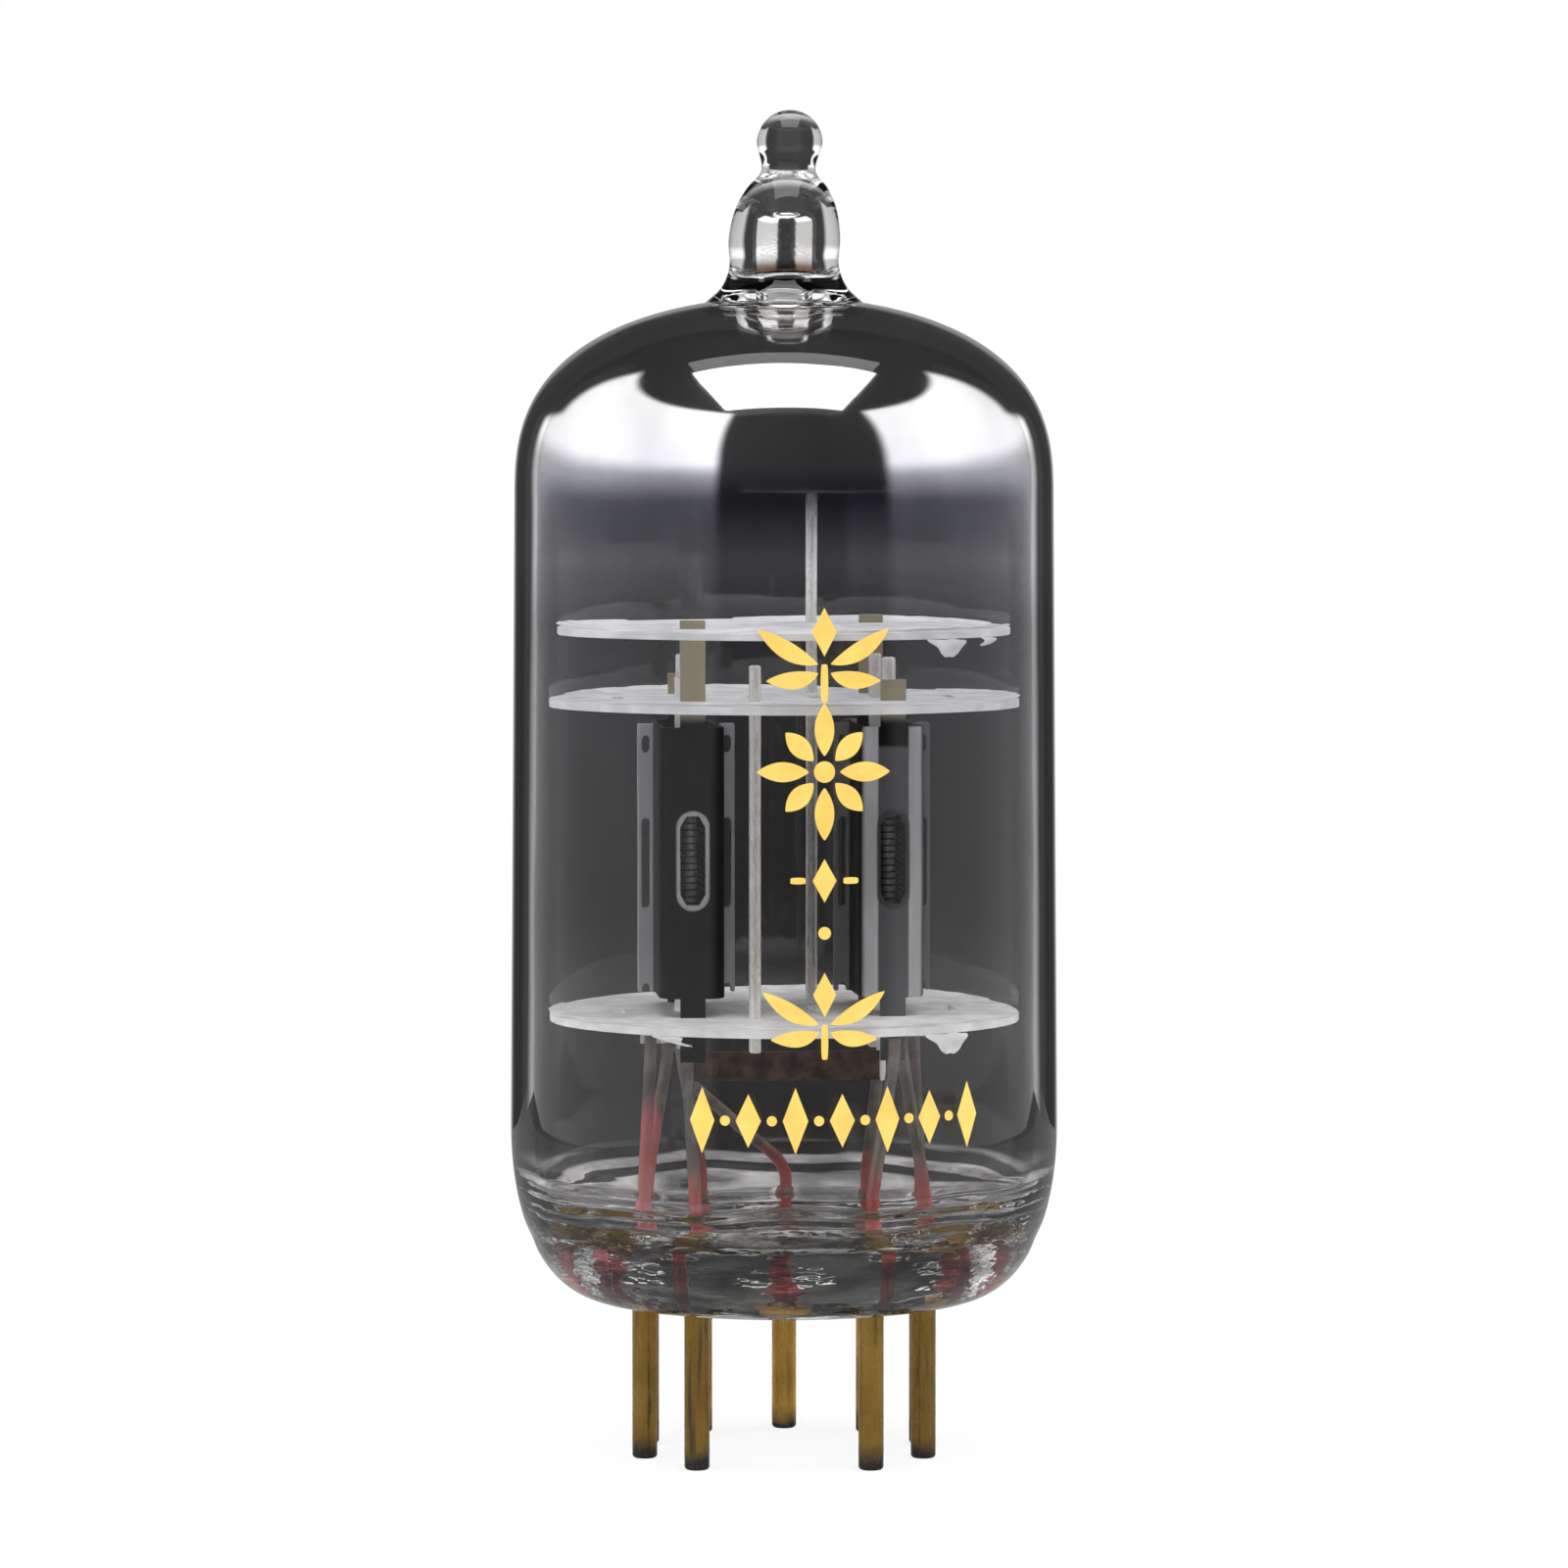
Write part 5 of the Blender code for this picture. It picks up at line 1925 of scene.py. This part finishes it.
@dataclass
class GetterRing:
    """The channel ring that held the getter metal.

    Attributes:
        radius: Radius of the middle of the channel.
        width: Width of the channel.
        depth: Depth of the channel.
        sheet: Thickness of its wall.
        bend: Size of the channel's outer corners.
        inner_bend: Size of its inner corners.
    """

    radius: float = 2.9 * MM
    width: float = 0.9 * MM
    depth: float = 0.65 * MM
    sheet: float = 0.14 * MM
    bend: float = 0.12 * MM
    inner_bend: float = 0.1 * MM

    def build(self) -> None:
        """Build the ring where its CAD node is, turned from a U with rounded corners."""
        low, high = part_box("getter_ring")
        centre = (low + high) / 2
        reach, bottom = self.width / 2, low.z
        top, inside = bottom + self.depth, reach - self.sheet
        floor = bottom + self.sheet
        line = [
            (-reach, top),
            (-reach, bottom + self.bend),
            (-reach + self.bend, bottom),
            (0.0, bottom),
            (reach - self.bend, bottom),
            (reach, bottom + self.bend),
            (reach, top),
            (inside, top),
            (inside, floor + self.inner_bend),
            (inside - self.inner_bend, floor),
            (-inside + self.inner_bend, floor),
            (-inside, floor + self.inner_bend),
            (-inside, top),
        ]
        outline = np.array([(self.radius + x, z) for x, z in line])
        ring = Surface(turned(outline, 96, (centre.x, centre.y)), rows_meet=True)
        make_piece("getter_channel", (ring,), HEATED_STEEL, ("getter_ring",))


@dataclass
class Triode:
    """The electrodes of one triode.

    Attributes:
        side: Which of the two it is.
        cage_turn: How far the cage is turned.
        offset: How far the triode stands from the axis.
        rod_radius: Radius of a grid rod.
        rod_offset: How far the rods stand from the triode's middle.
        rod_low: Height of the rods' lower ends.
        rod_high: Height of their upper ends.
        wire_radius: Radius of the grid wire.
        wire_turns: Turns of the winding.
        half_width: Half width of the winding.
        wound: Lowest and highest turn.
        sleeve: Half width and half depth of the cathode sleeve.
        sleeve_wall: Its wall.
        sleeve_span: Heights of its ends.
        heater_radius: Radius of the heater with its coating.
        heater_pitch: Distance between the heater's legs.
        heater_low: Height of its tails' ends.
        heater_folds: Heights of its lower and upper folds.
    """

    side: Side
    cage_turn: float = CAGE_TURN
    offset: float = 4.0 * MM
    rod_radius: float = 0.28 * MM
    rod_offset: float = 2.1 * MM
    rod_low: float = 16.35 * MM
    rod_high: float = 32.55 * MM
    wire_radius: float = 0.04 * MM
    wire_turns: int = 34
    half_width: float = 0.72 * MM
    wound: tuple[float, float] = (19.8 * MM, 28.9 * MM)
    sleeve: tuple[float, float] = (0.45 * MM, 0.95 * MM)
    sleeve_wall: float = 0.1 * MM
    sleeve_span: tuple[float, float] = (16.85 * MM, 31.65 * MM)
    heater_radius: float = 0.11 * MM
    heater_pitch: float = 0.4 * MM
    heater_low: float = 15.25 * MM
    heater_folds: tuple[float, float] = (17.75 * MM, 30.75 * MM)

    @property
    def label(self) -> str:
        """The side's name in the nodes' names."""
        return self.side.name.lower()

    def settle(self, grid: np.ndarray) -> np.ndarray:
        """Put points of the triode's own frame in place; the right triode is turned half round.

        Args:
            grid: Points in the triode's frame.

        Returns:
            Points in the tube's frame.
        """
        if self.side is Side.RIGHT:
            grid = grid * (-1.0, -1.0, 1.0)
        return turned_about_axis(grid, self.cage_turn, (self.side.value * self.offset, 0.0))

    def build(self) -> None:
        """Build the grid, cathode and heater, and dress the anode."""
        # The right anode takes the sheet with painted light.
        sheet = SOOTY_SHEET if self.side is Side.LEFT else ANODE_SHEET_WITH_PAINTED_LIGHT
        for half in ("front", "rear"):
            eased_copy(f"anode_{self.label}_{half}", sheet, 0.045 * MM)
        eased_copy(f"cathode_ribbon_{self.label}", BRIGHT_NICKEL, 0.025 * MM)
        self._grid()
        self._cathode()
        self._heater()

    def _grid(self) -> None:
        """Two rods, and a wire whose rounds are superellipses that climb evenly."""
        rod = turned(rod_profile(self.rod_radius, self.rod_low, self.rod_high, 0.12 * MM), 24)
        for place, along in (("front", -self.rod_offset), ("rear", self.rod_offset)):
            spot = Surface(self.settle(rod + (0.0, along, 0.0)))
            node = f"grid_{self.label}_rod_{place}"
            make_piece(node + "_bright", (spot,), BRIGHT_NICKEL, (node,))
        turn = np.linspace(0.0, math.tau * self.wire_turns, self.wire_turns * 24 + 1)
        wave = np.stack((np.cos(turn), np.sin(turn)), axis=1)
        reach = self.rod_offset + 1.12 * (self.rod_radius + 0.08 * MM)
        flat = np.array((self.half_width, reach)) * np.sign(wave) * np.abs(wave) ** (2 / 3.0)
        climb = np.linspace(*self.wound, len(turn))[:, None]
        path = self.settle(np.concatenate((flat, climb), axis=1))
        wire = Surface(swept(path, round_section(self.wire_radius, 6), (0.0, 0.0, 1.0)))
        node = f"grid_{self.label}_winding"
        make_piece(node + "_wire", (wire,), DRAWN_WIRE, (node,), sharp=80.0)

    def _cathode(self) -> None:
        """The sleeve: an oblong outside and inside, joined at both ends."""
        low, high = self.sleeve_span
        levels = np.linspace(low, high, 12)
        skins = []
        for inset in (0.0, self.sleeve_wall):
            ring = oblong(self.sleeve[0] - inset, self.sleeve[1] - inset, 48, 3.2)
            flat = np.broadcast_to(ring, (len(levels), *ring.shape))
            height = np.broadcast_to(levels[:, None, None], (*flat.shape[:2], 1))
            skins.append(np.concatenate((flat, height), axis=2))
        tube = Surface(self.settle(np.concatenate((skins[0], skins[1][::-1]))), rows_meet=True)
        node = f"cathode_{self.label}"
        make_piece(node + "_sleeve", (tube,), WHITE_OXIDE, (node,))

    def _heater(self) -> None:
        """The heater: four legs, with half circles where it folds."""
        first = -1.5 * self.heater_pitch
        low, high = self.heater_folds
        turn = np.linspace(0.0, math.pi, 12)
        fold = self.heater_pitch / 2
        path = [np.array([(0.0, first, self.heater_low)])]
        for leg, (level, way) in enumerate(((high, 1.0), (low, -1.0), (high, 1.0))):
            middle = first + leg * self.heater_pitch + fold
            along = middle - fold * np.cos(turn)
            rise = level + way * fold * (np.sin(turn) - 1.0)
            path.append(np.stack((0.0 * turn, along, rise), axis=1))
        path.append(np.array([(0.0, -first, self.heater_low)]))
        route = respaced(np.vstack(path), 420)
        grid = self.settle(swept(route, round_section(self.heater_radius, 10), (1.0, 0.0, 0.0)))
        node = f"heater_{self.label}"
        make_piece(node + "_coated", (Surface(grid),), WHITE_CERAMIC, (node,), sharp=80.0)


@dataclass
class Cage:
    """Everything that stands between the micas.

    Attributes:
        micas: The discs.
        posts: The support rod and the getter's post.
        getter: The getter ring.
    """

    micas: MicaStack = field(default_factory=MicaStack)
    posts: Posts = field(default_factory=Posts)
    getter: GetterRing = field(default_factory=GetterRing)

    def build(self) -> None:
        """Build the cage."""
        self.micas.build()
        self.posts.build()
        self.getter.build()
        for side in Side:
            Triode(side).build()
        eased_copy("heater_link", DARK_BROWN_STRIP, 0.025 * MM)


# Gold ornament on the glass


class MarkShape(Enum):
    """Shapes of a printed mark."""

    LEAF = "leaf"
    LOZENGE = "lozenge"
    DOT = "dot"
    BAR = "bar"


@dataclass(frozen=True)
class Mark:
    """One printed mark, on the glass unrolled flat.

    Attributes:
        shape: Its shape.
        across: How far its start lies round the glass from the front, to the right.
        height: Height of its start.
        length: Its length.
        width: Its greatest width.
        heading: The way that it runs in degrees; 0 is to the right and 90 is up.
        bend: How far its tip bends to the left.
    """

    shape: MarkShape
    across: float
    height: float
    length: float
    width: float
    heading: float = 90.0
    bend: float = 0.0

    def half_width(self, run: np.ndarray) -> np.ndarray:
        """Share of the half width along the mark.

        It is sin(pi s)^0.8 for a leaf, 1 - |2s - 1| for a lozenge, a half circle for a dot and
        sin(pi s)^0.12 for a bar.

        Args:
            run: Places along the mark from 0 to 1.

        Returns:
            Shares from 0 to 1.
        """
        wave = np.clip(np.sin(math.pi * run), 0.0, 1.0)
        if self.shape is MarkShape.LEAF:
            return wave**0.8
        if self.shape is MarkShape.LOZENGE:
            return 1.0 - np.abs(2.0 * run - 1.0)
        if self.shape is MarkShape.DOT:
            return np.sqrt(np.clip(1.0 - (2.0 * run - 1.0) ** 2, 0.0, 1.0))
        return wave**0.12

    def flat(self) -> np.ndarray:
        """The mark's grid on the unrolled glass: along its run, with the bend growing as s squared.

        Returns:
            Rows along it, columns across it, and two coordinates.
        """
        run = ((1.0 - np.cos(math.pi * np.linspace(0.0, 1.0, 21))) / 2)[:, None]
        across = np.linspace(-1.0, 1.0, 7)[None, :]
        along = run * self.length + 0.0 * across
        aside = across * self.half_width(run) * self.width / 2 + self.bend * run**2
        heading = math.radians(self.heading)
        cos, sin = math.cos(heading), math.sin(heading)
        across = self.across + along * cos - aside * sin
        return np.stack((across, self.height + along * sin + aside * cos), axis=-1)


@dataclass
class Ornament:
    """A plain gold ornament: a column of rosettes and sprigs, and a row of lozenges below it.

    Attributes:
        outline: Outlines of the glass that it is printed on.
        column: How far the column stands round the glass from the front.
        row_height: Height of the middle of the row.
        lift: Thickness of the print.
    """

    outline: GlassOutline = field(default_factory=GlassOutline)
    column: float = 1.6 * MM
    row_height: float = 14.75 * MM
    lift: float = 0.02 * MM

    def build(self) -> None:
        """Print each group as one piece."""
        groups = {
            "ornament_upper_sprig": self._sprig(33.0 * MM, 1.0),
            "ornament_rosette": self._rosette(28.4 * MM),
            "ornament_links": self._links(),
            "ornament_lower_sprig": self._sprig(18.9 * MM, 0.92),
            "ornament_row": self._row(),
        }
        for name, marks in groups.items():
            surfaces = [Surface(self._on_glass(mark.flat())) for mark in marks]
            make_piece(name, surfaces, GOLD_PRINT, sharp=60.0)

    def _on_glass(self, flat: np.ndarray) -> np.ndarray:
        """Roll a flat grid onto the glass: angle = across / radius, at the glass's own radius.

        Args:
            flat: Rows and columns of places round the glass and heights.

        Returns:
            The grid with a front and a back.
        """
        body = self.outline.body()
        radius = np.interp(flat[..., 1], body[:, 1], body[:, 0])
        angle = flat[..., 0] / self.outline.radius - math.pi / 2
        skins = []
        for lift in (self.lift, 0.003 * MM):
            reach = radius + lift
            skin = (reach * np.cos(angle), reach * np.sin(angle), flat[..., 1])
            skins.append(np.stack(skin, axis=-1))
        return np.concatenate((skins[0], skins[1][:, ::-1]), axis=1)

    def _sprig(self, height: float, scale: float) -> list[Mark]:
        """A lozenge on a short stem with a pair of leaves each way.

        Args:
            height: Height of its middle.
            scale: Size against the upper sprig.

        Returns:
            Its marks.
        """
        size = scale * MM
        marks = [
            Mark(MarkShape.LOZENGE, self.column, height - 0.1 * size, 1.9 * size, 1.0 * size),
            Mark(MarkShape.BAR, self.column, height - 1.9 * size, 1.5 * size, 0.3 * size),
        ]
        for side in (-1, 1):
            start = self.column + side * 0.25 * size
            for heading, length, drop in ((18.0, 2.7, 0.4), (-24.0, 2.0, 0.75)):
                way = heading if side > 0 else 180.0 - heading
                leaf = (start, height - drop * size, length * size, 0.72 * size, way)
                marks.append(Mark(MarkShape.LEAF, *leaf, side * 0.55 * size))
        return marks

    def _rosette(self, height: float) -> list[Mark]:
        """Eight petals round a dot, long and short in turn.

        Args:
            height: Height of its middle.

        Returns:
            Its marks.
        """
        marks = [Mark(MarkShape.DOT, self.column, height - 0.42 * MM, 0.84 * MM, 0.84 * MM)]
        for step in range(8):
            heading = 45.0 * step
            turn = math.radians(heading)
            length = (2.05 if step % 2 == 0 else 1.55) * MM
            root = 0.62 * MM
            start = (self.column + root * math.cos(turn), height + root * math.sin(turn))
            marks.append(Mark(MarkShape.LEAF, *start, length, 0.78 * MM, heading))
        return marks

    def _links(self) -> list[Mark]:
        """The lozenges, bars and dots between the rosette and the lower sprig.

        Returns:
            Its marks.
        """
        marks = [
            Mark(MarkShape.LOZENGE, self.column, 23.3 * MM, 1.7 * MM, 0.95 * MM),
            Mark(MarkShape.DOT, self.column, 21.85 * MM, 0.5 * MM, 0.5 * MM),
        ]
        for side in (-1, 1):
            way = 0.0 if side > 0 else 180.0
            start = self.column + side * 0.75 * MM
            marks.append(Mark(MarkShape.BAR, start, 24.15 * MM, 0.6 * MM, 0.26 * MM, way))
        return marks

    def _row(self) -> list[Mark]:
        """Seven lozenges with dots between them.

        Returns:
            Its marks.
        """
        pitch, middle = 1.85 * MM, 2.3 * MM
        marks = []
        for step in range(-3, 4):
            across = middle + step * pitch
            tall = (2.6 if step % 2 else 2.1) * MM
            marks.append(Mark(MarkShape.LOZENGE, across, self.row_height - tall / 2, tall, 1.0 * MM))
            if step < 3:
                dot = (across + pitch / 2, self.row_height - 0.2 * MM, 0.4 * MM, 0.4 * MM)
                marks.append(Mark(MarkShape.DOT, *dot))
        return marks


# Studio


@dataclass(frozen=True)
class Softbox:
    """A soft lamp.

    Attributes:
        name: Its name.
        place: Where it stands.
        size: Width and height.
        power: Its power in watts.
        is_reflected: Whether it shows in reflections.
    """

    name: str
    place: Place
    size: tuple[float, float]
    power: float
    is_reflected: bool = True

    def build(self, target: Vector) -> None:
        """Set the lamp up, facing its target.

        Args:
            target: The point that it faces.
        """
        data = bpy.data.lights.new(self.name, "AREA")
        data.shape = "RECTANGLE"
        data.size, data.size_y = self.size
        data.energy = self.power
        lamp = bpy.data.objects.new(self.name, data)
        bpy.context.scene.collection.objects.link(lamp)
        lamp.location = self.place
        lamp.rotation_euler = (target - Vector(self.place)).to_track_quat("-Z", "Y").to_euler()
        lamp.visible_camera = False
        lamp.visible_glossy = self.is_reflected
        lamp.visible_transmission = self.is_reflected


@dataclass
class Studio:
    """Surroundings that are white to the camera alone, a pale floor, lamps and the camera.

    Glass and gloss see levels of their own at the back and the sides, and dark between them.
    Azimuths are in radians from -Y, and heights are those of a direction of length 1.

    Attributes:
        camera_place: Where the camera stands.
        aim_height: Height on the tube's axis that it faces.
        lens: Its focal length in millimetres.
        lamp_aim: Height on the tube's axis that the lamps face.
        ambient: Strength of the surroundings for diffuse light.
        dark: Strength of the dark openings between the white sides and back.
        side_gloss: Strength of the sides for light that the glass's outside reflects.
        side_through: Strength of the sides for light that comes out through the glass.
        side_low: Share of that strength near and below the horizon.
        back_gloss: Strength of the back for light that the glass's outside reflects.
        back_through: Strength of the back for light that comes out through the glass.
        floor_gloss: Strength of the floor in reflections.
        floor_reach: Half size of the floor.
        back_turn: Azimuths between which the back sets in.
        back_z: Heights between which it ends.
        left_turn: Azimuths between which the left side sets in.
        right_turn: Azimuths between which the right side sets in.
        far_turn: Azimuths between which both sides end.
        wider: Heights between which they reach further, and by how much.
        sides_z: Heights between which they end.
        low_z: Heights below and above which side_low and the full strength hold.
        lamps: The softboxes.
    """

    camera_place: Place = (0.0, -0.260, 0.0424)
    aim_height: float = 0.0273
    lens: float = 147.0
    lamp_aim: float = 0.027
    ambient: float = 0.55
    dark: float = 0.045
    side_gloss: float = 0.16
    side_through: float = 1.75
    side_low: float = 0.42
    back_gloss: float = 0.45
    back_through: float = 0.075
    floor_gloss: float = 0.3
    floor_reach: float = 0.11
    back_turn: tuple[float, float] = (2.80, 2.95)
    back_z: tuple[float, float] = (0.34, 0.22)
    left_turn: tuple[float, float] = (-0.48, -0.58)
    right_turn: tuple[float, float] = (0.78, 0.90)
    far_turn: tuple[float, float] = (2.40, 2.28)
    wider: tuple[float, float, float, float] = (0.35, 0.20, 0.0, 0.18)
    sides_z: tuple[float, float] = (0.77, 0.73)
    low_z: tuple[float, float] = (0.06, 0.20)
    lamps: tuple[Softbox, ...] = (
        Softbox("overhead softbox", (0.0, -0.12, 0.72), (0.6, 0.6), 3.0),
        Softbox("ceiling light", (0.0, -0.05, 0.80), (0.9, 0.9), 3.5, False),
        Softbox("left softbox", (-0.72, -0.30, 0.20), (0.5, 0.8), 3.6, False),
        Softbox("right softbox", (0.74, -0.14, 0.22), (0.5, 0.8), 3.0, False),
    )

    def build(self) -> None:
        """Set everything up."""
        bpy.context.scene.view_settings.view_transform = "Standard"
        self._surroundings()
        self._floor()
        target = Vector((0.0, 0.0, self.lamp_aim))
        for lamp in self.lamps:
            lamp.build(target)
        self._camera()

    def _surroundings(self) -> None:
        """White for the camera, and levels by direction for glass and gloss."""
        world = bpy.data.worlds.new("surroundings")
        bpy.context.scene.world = world
        world.use_nodes = True
        sketch = Sketch(world.node_tree)
        x, y, z = sketch.split(sketch.add("ShaderNodeTexCoord").outputs["Generated"])
        azimuth = sketch.calc("ARCTAN2", x, sketch.calc("MULTIPLY", y, -1.0))
        turn = sketch.calc("ABSOLUTE", azimuth)
        back = sketch.calc(
            "MULTIPLY", sketch.span(turn, *self.back_turn), sketch.span(z, *self.back_z)
        )
        left, right = (sketch.span(azimuth, *turns) for turns in (self.left_turn, self.right_turn))
        near = sketch.calc("ADD", left, right)
        wider = sketch.span(z, *self.wider)
        far = sketch.span(sketch.calc("SUBTRACT", turn, wider), *self.far_turn)
        sides = sketch.calc("MULTIPLY", near, far)
        sides = sketch.calc("MULTIPLY", sides, sketch.span(z, *self.sides_z))
        low = sketch.span(z, *self.low_z, self.side_low, 1.0)
        raised = sketch.calc("MULTIPLY", sides, low)
        level = self._level(sketch, back, raised, self.back_through, self.side_through)
        gloss = self._level(sketch, back, sides, self.back_gloss, self.side_gloss)
        strength = self._pick(sketch, Ray.GLOSSY, gloss, self.ambient)
        strength = self._pick(sketch, Ray.TRANSMISSION, level, strength)
        strength = self._pick(sketch, Ray.CAMERA, 1.0, strength)
        background = world.node_tree.nodes["Background"]
        background.inputs["Color"].default_value = (1.0, 1.0, 1.0, 1.0)
        sketch.put(background.inputs["Strength"], strength)

    def _level(
        self, sketch: Sketch, back: Any, sides: Any, back_level: float, side_level: float
    ) -> bpy.types.NodeSocket:
        """A level of its own at the back and at the sides, and dark between them.

        Args:
            sketch: The tree.
            back: Mask of the back.
            sides: Mask of the sides.
            back_level: Strength at the back.
            side_level: Strength at the sides.

        Returns:
            The strength.
        """
        behind = sketch.calc("MULTIPLY", back, back_level - self.dark)
        beside = sketch.calc("MULTIPLY", sides, side_level - self.dark)
        return sketch.calc("ADD", sketch.calc("ADD", behind, beside), self.dark)

    @staticmethod
    def _pick(sketch: Sketch, kind: Ray, then: Any, otherwise: Any) -> bpy.types.NodeSocket:
        """One value for a kind of ray and another for the rest.

        Args:
            sketch: The tree.
            kind: The kind of ray.
            then: The value for it.
            otherwise: The value for the rest.

        Returns:
            The value.
        """
        mask = sketch.rays(kind)
        yes = sketch.calc("MULTIPLY", mask, then)
        no = sketch.calc("MULTIPLY", sketch.calc("SUBTRACT", 1.0, mask), otherwise)
        return sketch.calc("ADD", yes, no)

    def _floor(self) -> None:
        """A plain pale floor, almost white to the camera and dimmer in gloss and through glass."""
        side = np.linspace(-self.floor_reach, self.floor_reach, 9)
        x, y = np.meshgrid(side, side, indexing="ij")
        grid = np.stack((x, y, 0.0 * x), axis=-1)
        quads = Surface(grid, columns_meet=False).quads()
        mesh = bpy.data.meshes.new("floor")
        mesh.from_pydata(grid.reshape(-1, 3).tolist(), [], quads.tolist())
        material = bpy.data.materials.new("pale_floor")
        material.use_nodes = True
        sketch = Sketch(material.node_tree)
        shader = material.node_tree.nodes["Principled BSDF"]
        shader.inputs["Base Color"].default_value = (0.85, 0.85, 0.85, 1.0)
        shader.inputs["Roughness"].default_value = 0.9
        shader.inputs["Specular IOR Level"].default_value = 0.0
        glow = sketch.add("ShaderNodeEmission")
        mix = sketch.add("ShaderNodeMixShader")
        seen = sketch.rays(Ray.CAMERA, Ray.GLOSSY, Ray.TRANSMISSION)
        away = sketch.add("ShaderNodeVectorMath", operation="LENGTH")
        sketch.put(away.inputs[0], sketch.place())
        glow_share = sketch.span(away.outputs["Value"], 0.02, 0.10, 0.80, 1.0)
        sketch.put(mix.inputs[0], sketch.calc("MULTIPLY", seen, glow_share))
        dimmer = sketch.span(away.outputs["Value"], 0.03, 0.10, 1.0, self.back_through)
        glow_level = self._pick(sketch, Ray.GLOSSY, self.floor_gloss, 1.0)
        glow_level = self._pick(sketch, Ray.TRANSMISSION, dimmer, glow_level)
        sketch.put(glow.inputs["Strength"], glow_level)
        sketch.put(mix.inputs[1], shader.outputs[0])
        sketch.put(mix.inputs[2], glow.outputs[0])
        sketch.put(material.node_tree.nodes["Material Output"].inputs["Surface"], mix.outputs[0])
        mesh.materials.append(material)
        floor = bpy.data.objects.new("floor", mesh)
        bpy.context.scene.collection.objects.link(floor)

    def _camera(self) -> None:
        """The camera, at the photograph's angle."""
        data = bpy.data.cameras.new("camera")
        data.lens = self.lens
        data.sensor_width = 36.0
        data.clip_start = 0.01
        camera = bpy.data.objects.new("camera", data)
        bpy.context.scene.collection.objects.link(camera)
        camera.location = self.camera_place
        way = Vector((0.0, 0.0, self.aim_height)) - camera.location
        camera.rotation_euler = way.to_track_quat("-Z", "Y").to_euler()
        bpy.context.scene.camera = camera


def main() -> None:
    """Build the tube and its studio, and note the sizes."""
    logging.basicConfig(level=logging.INFO, format="%(message)s")
    Studio().build()
    Envelope().build()
    PinSet().build()
    LeadSet().build()
    Cage().build()
    Ornament().build()


if __name__ == "__main__":
    main()
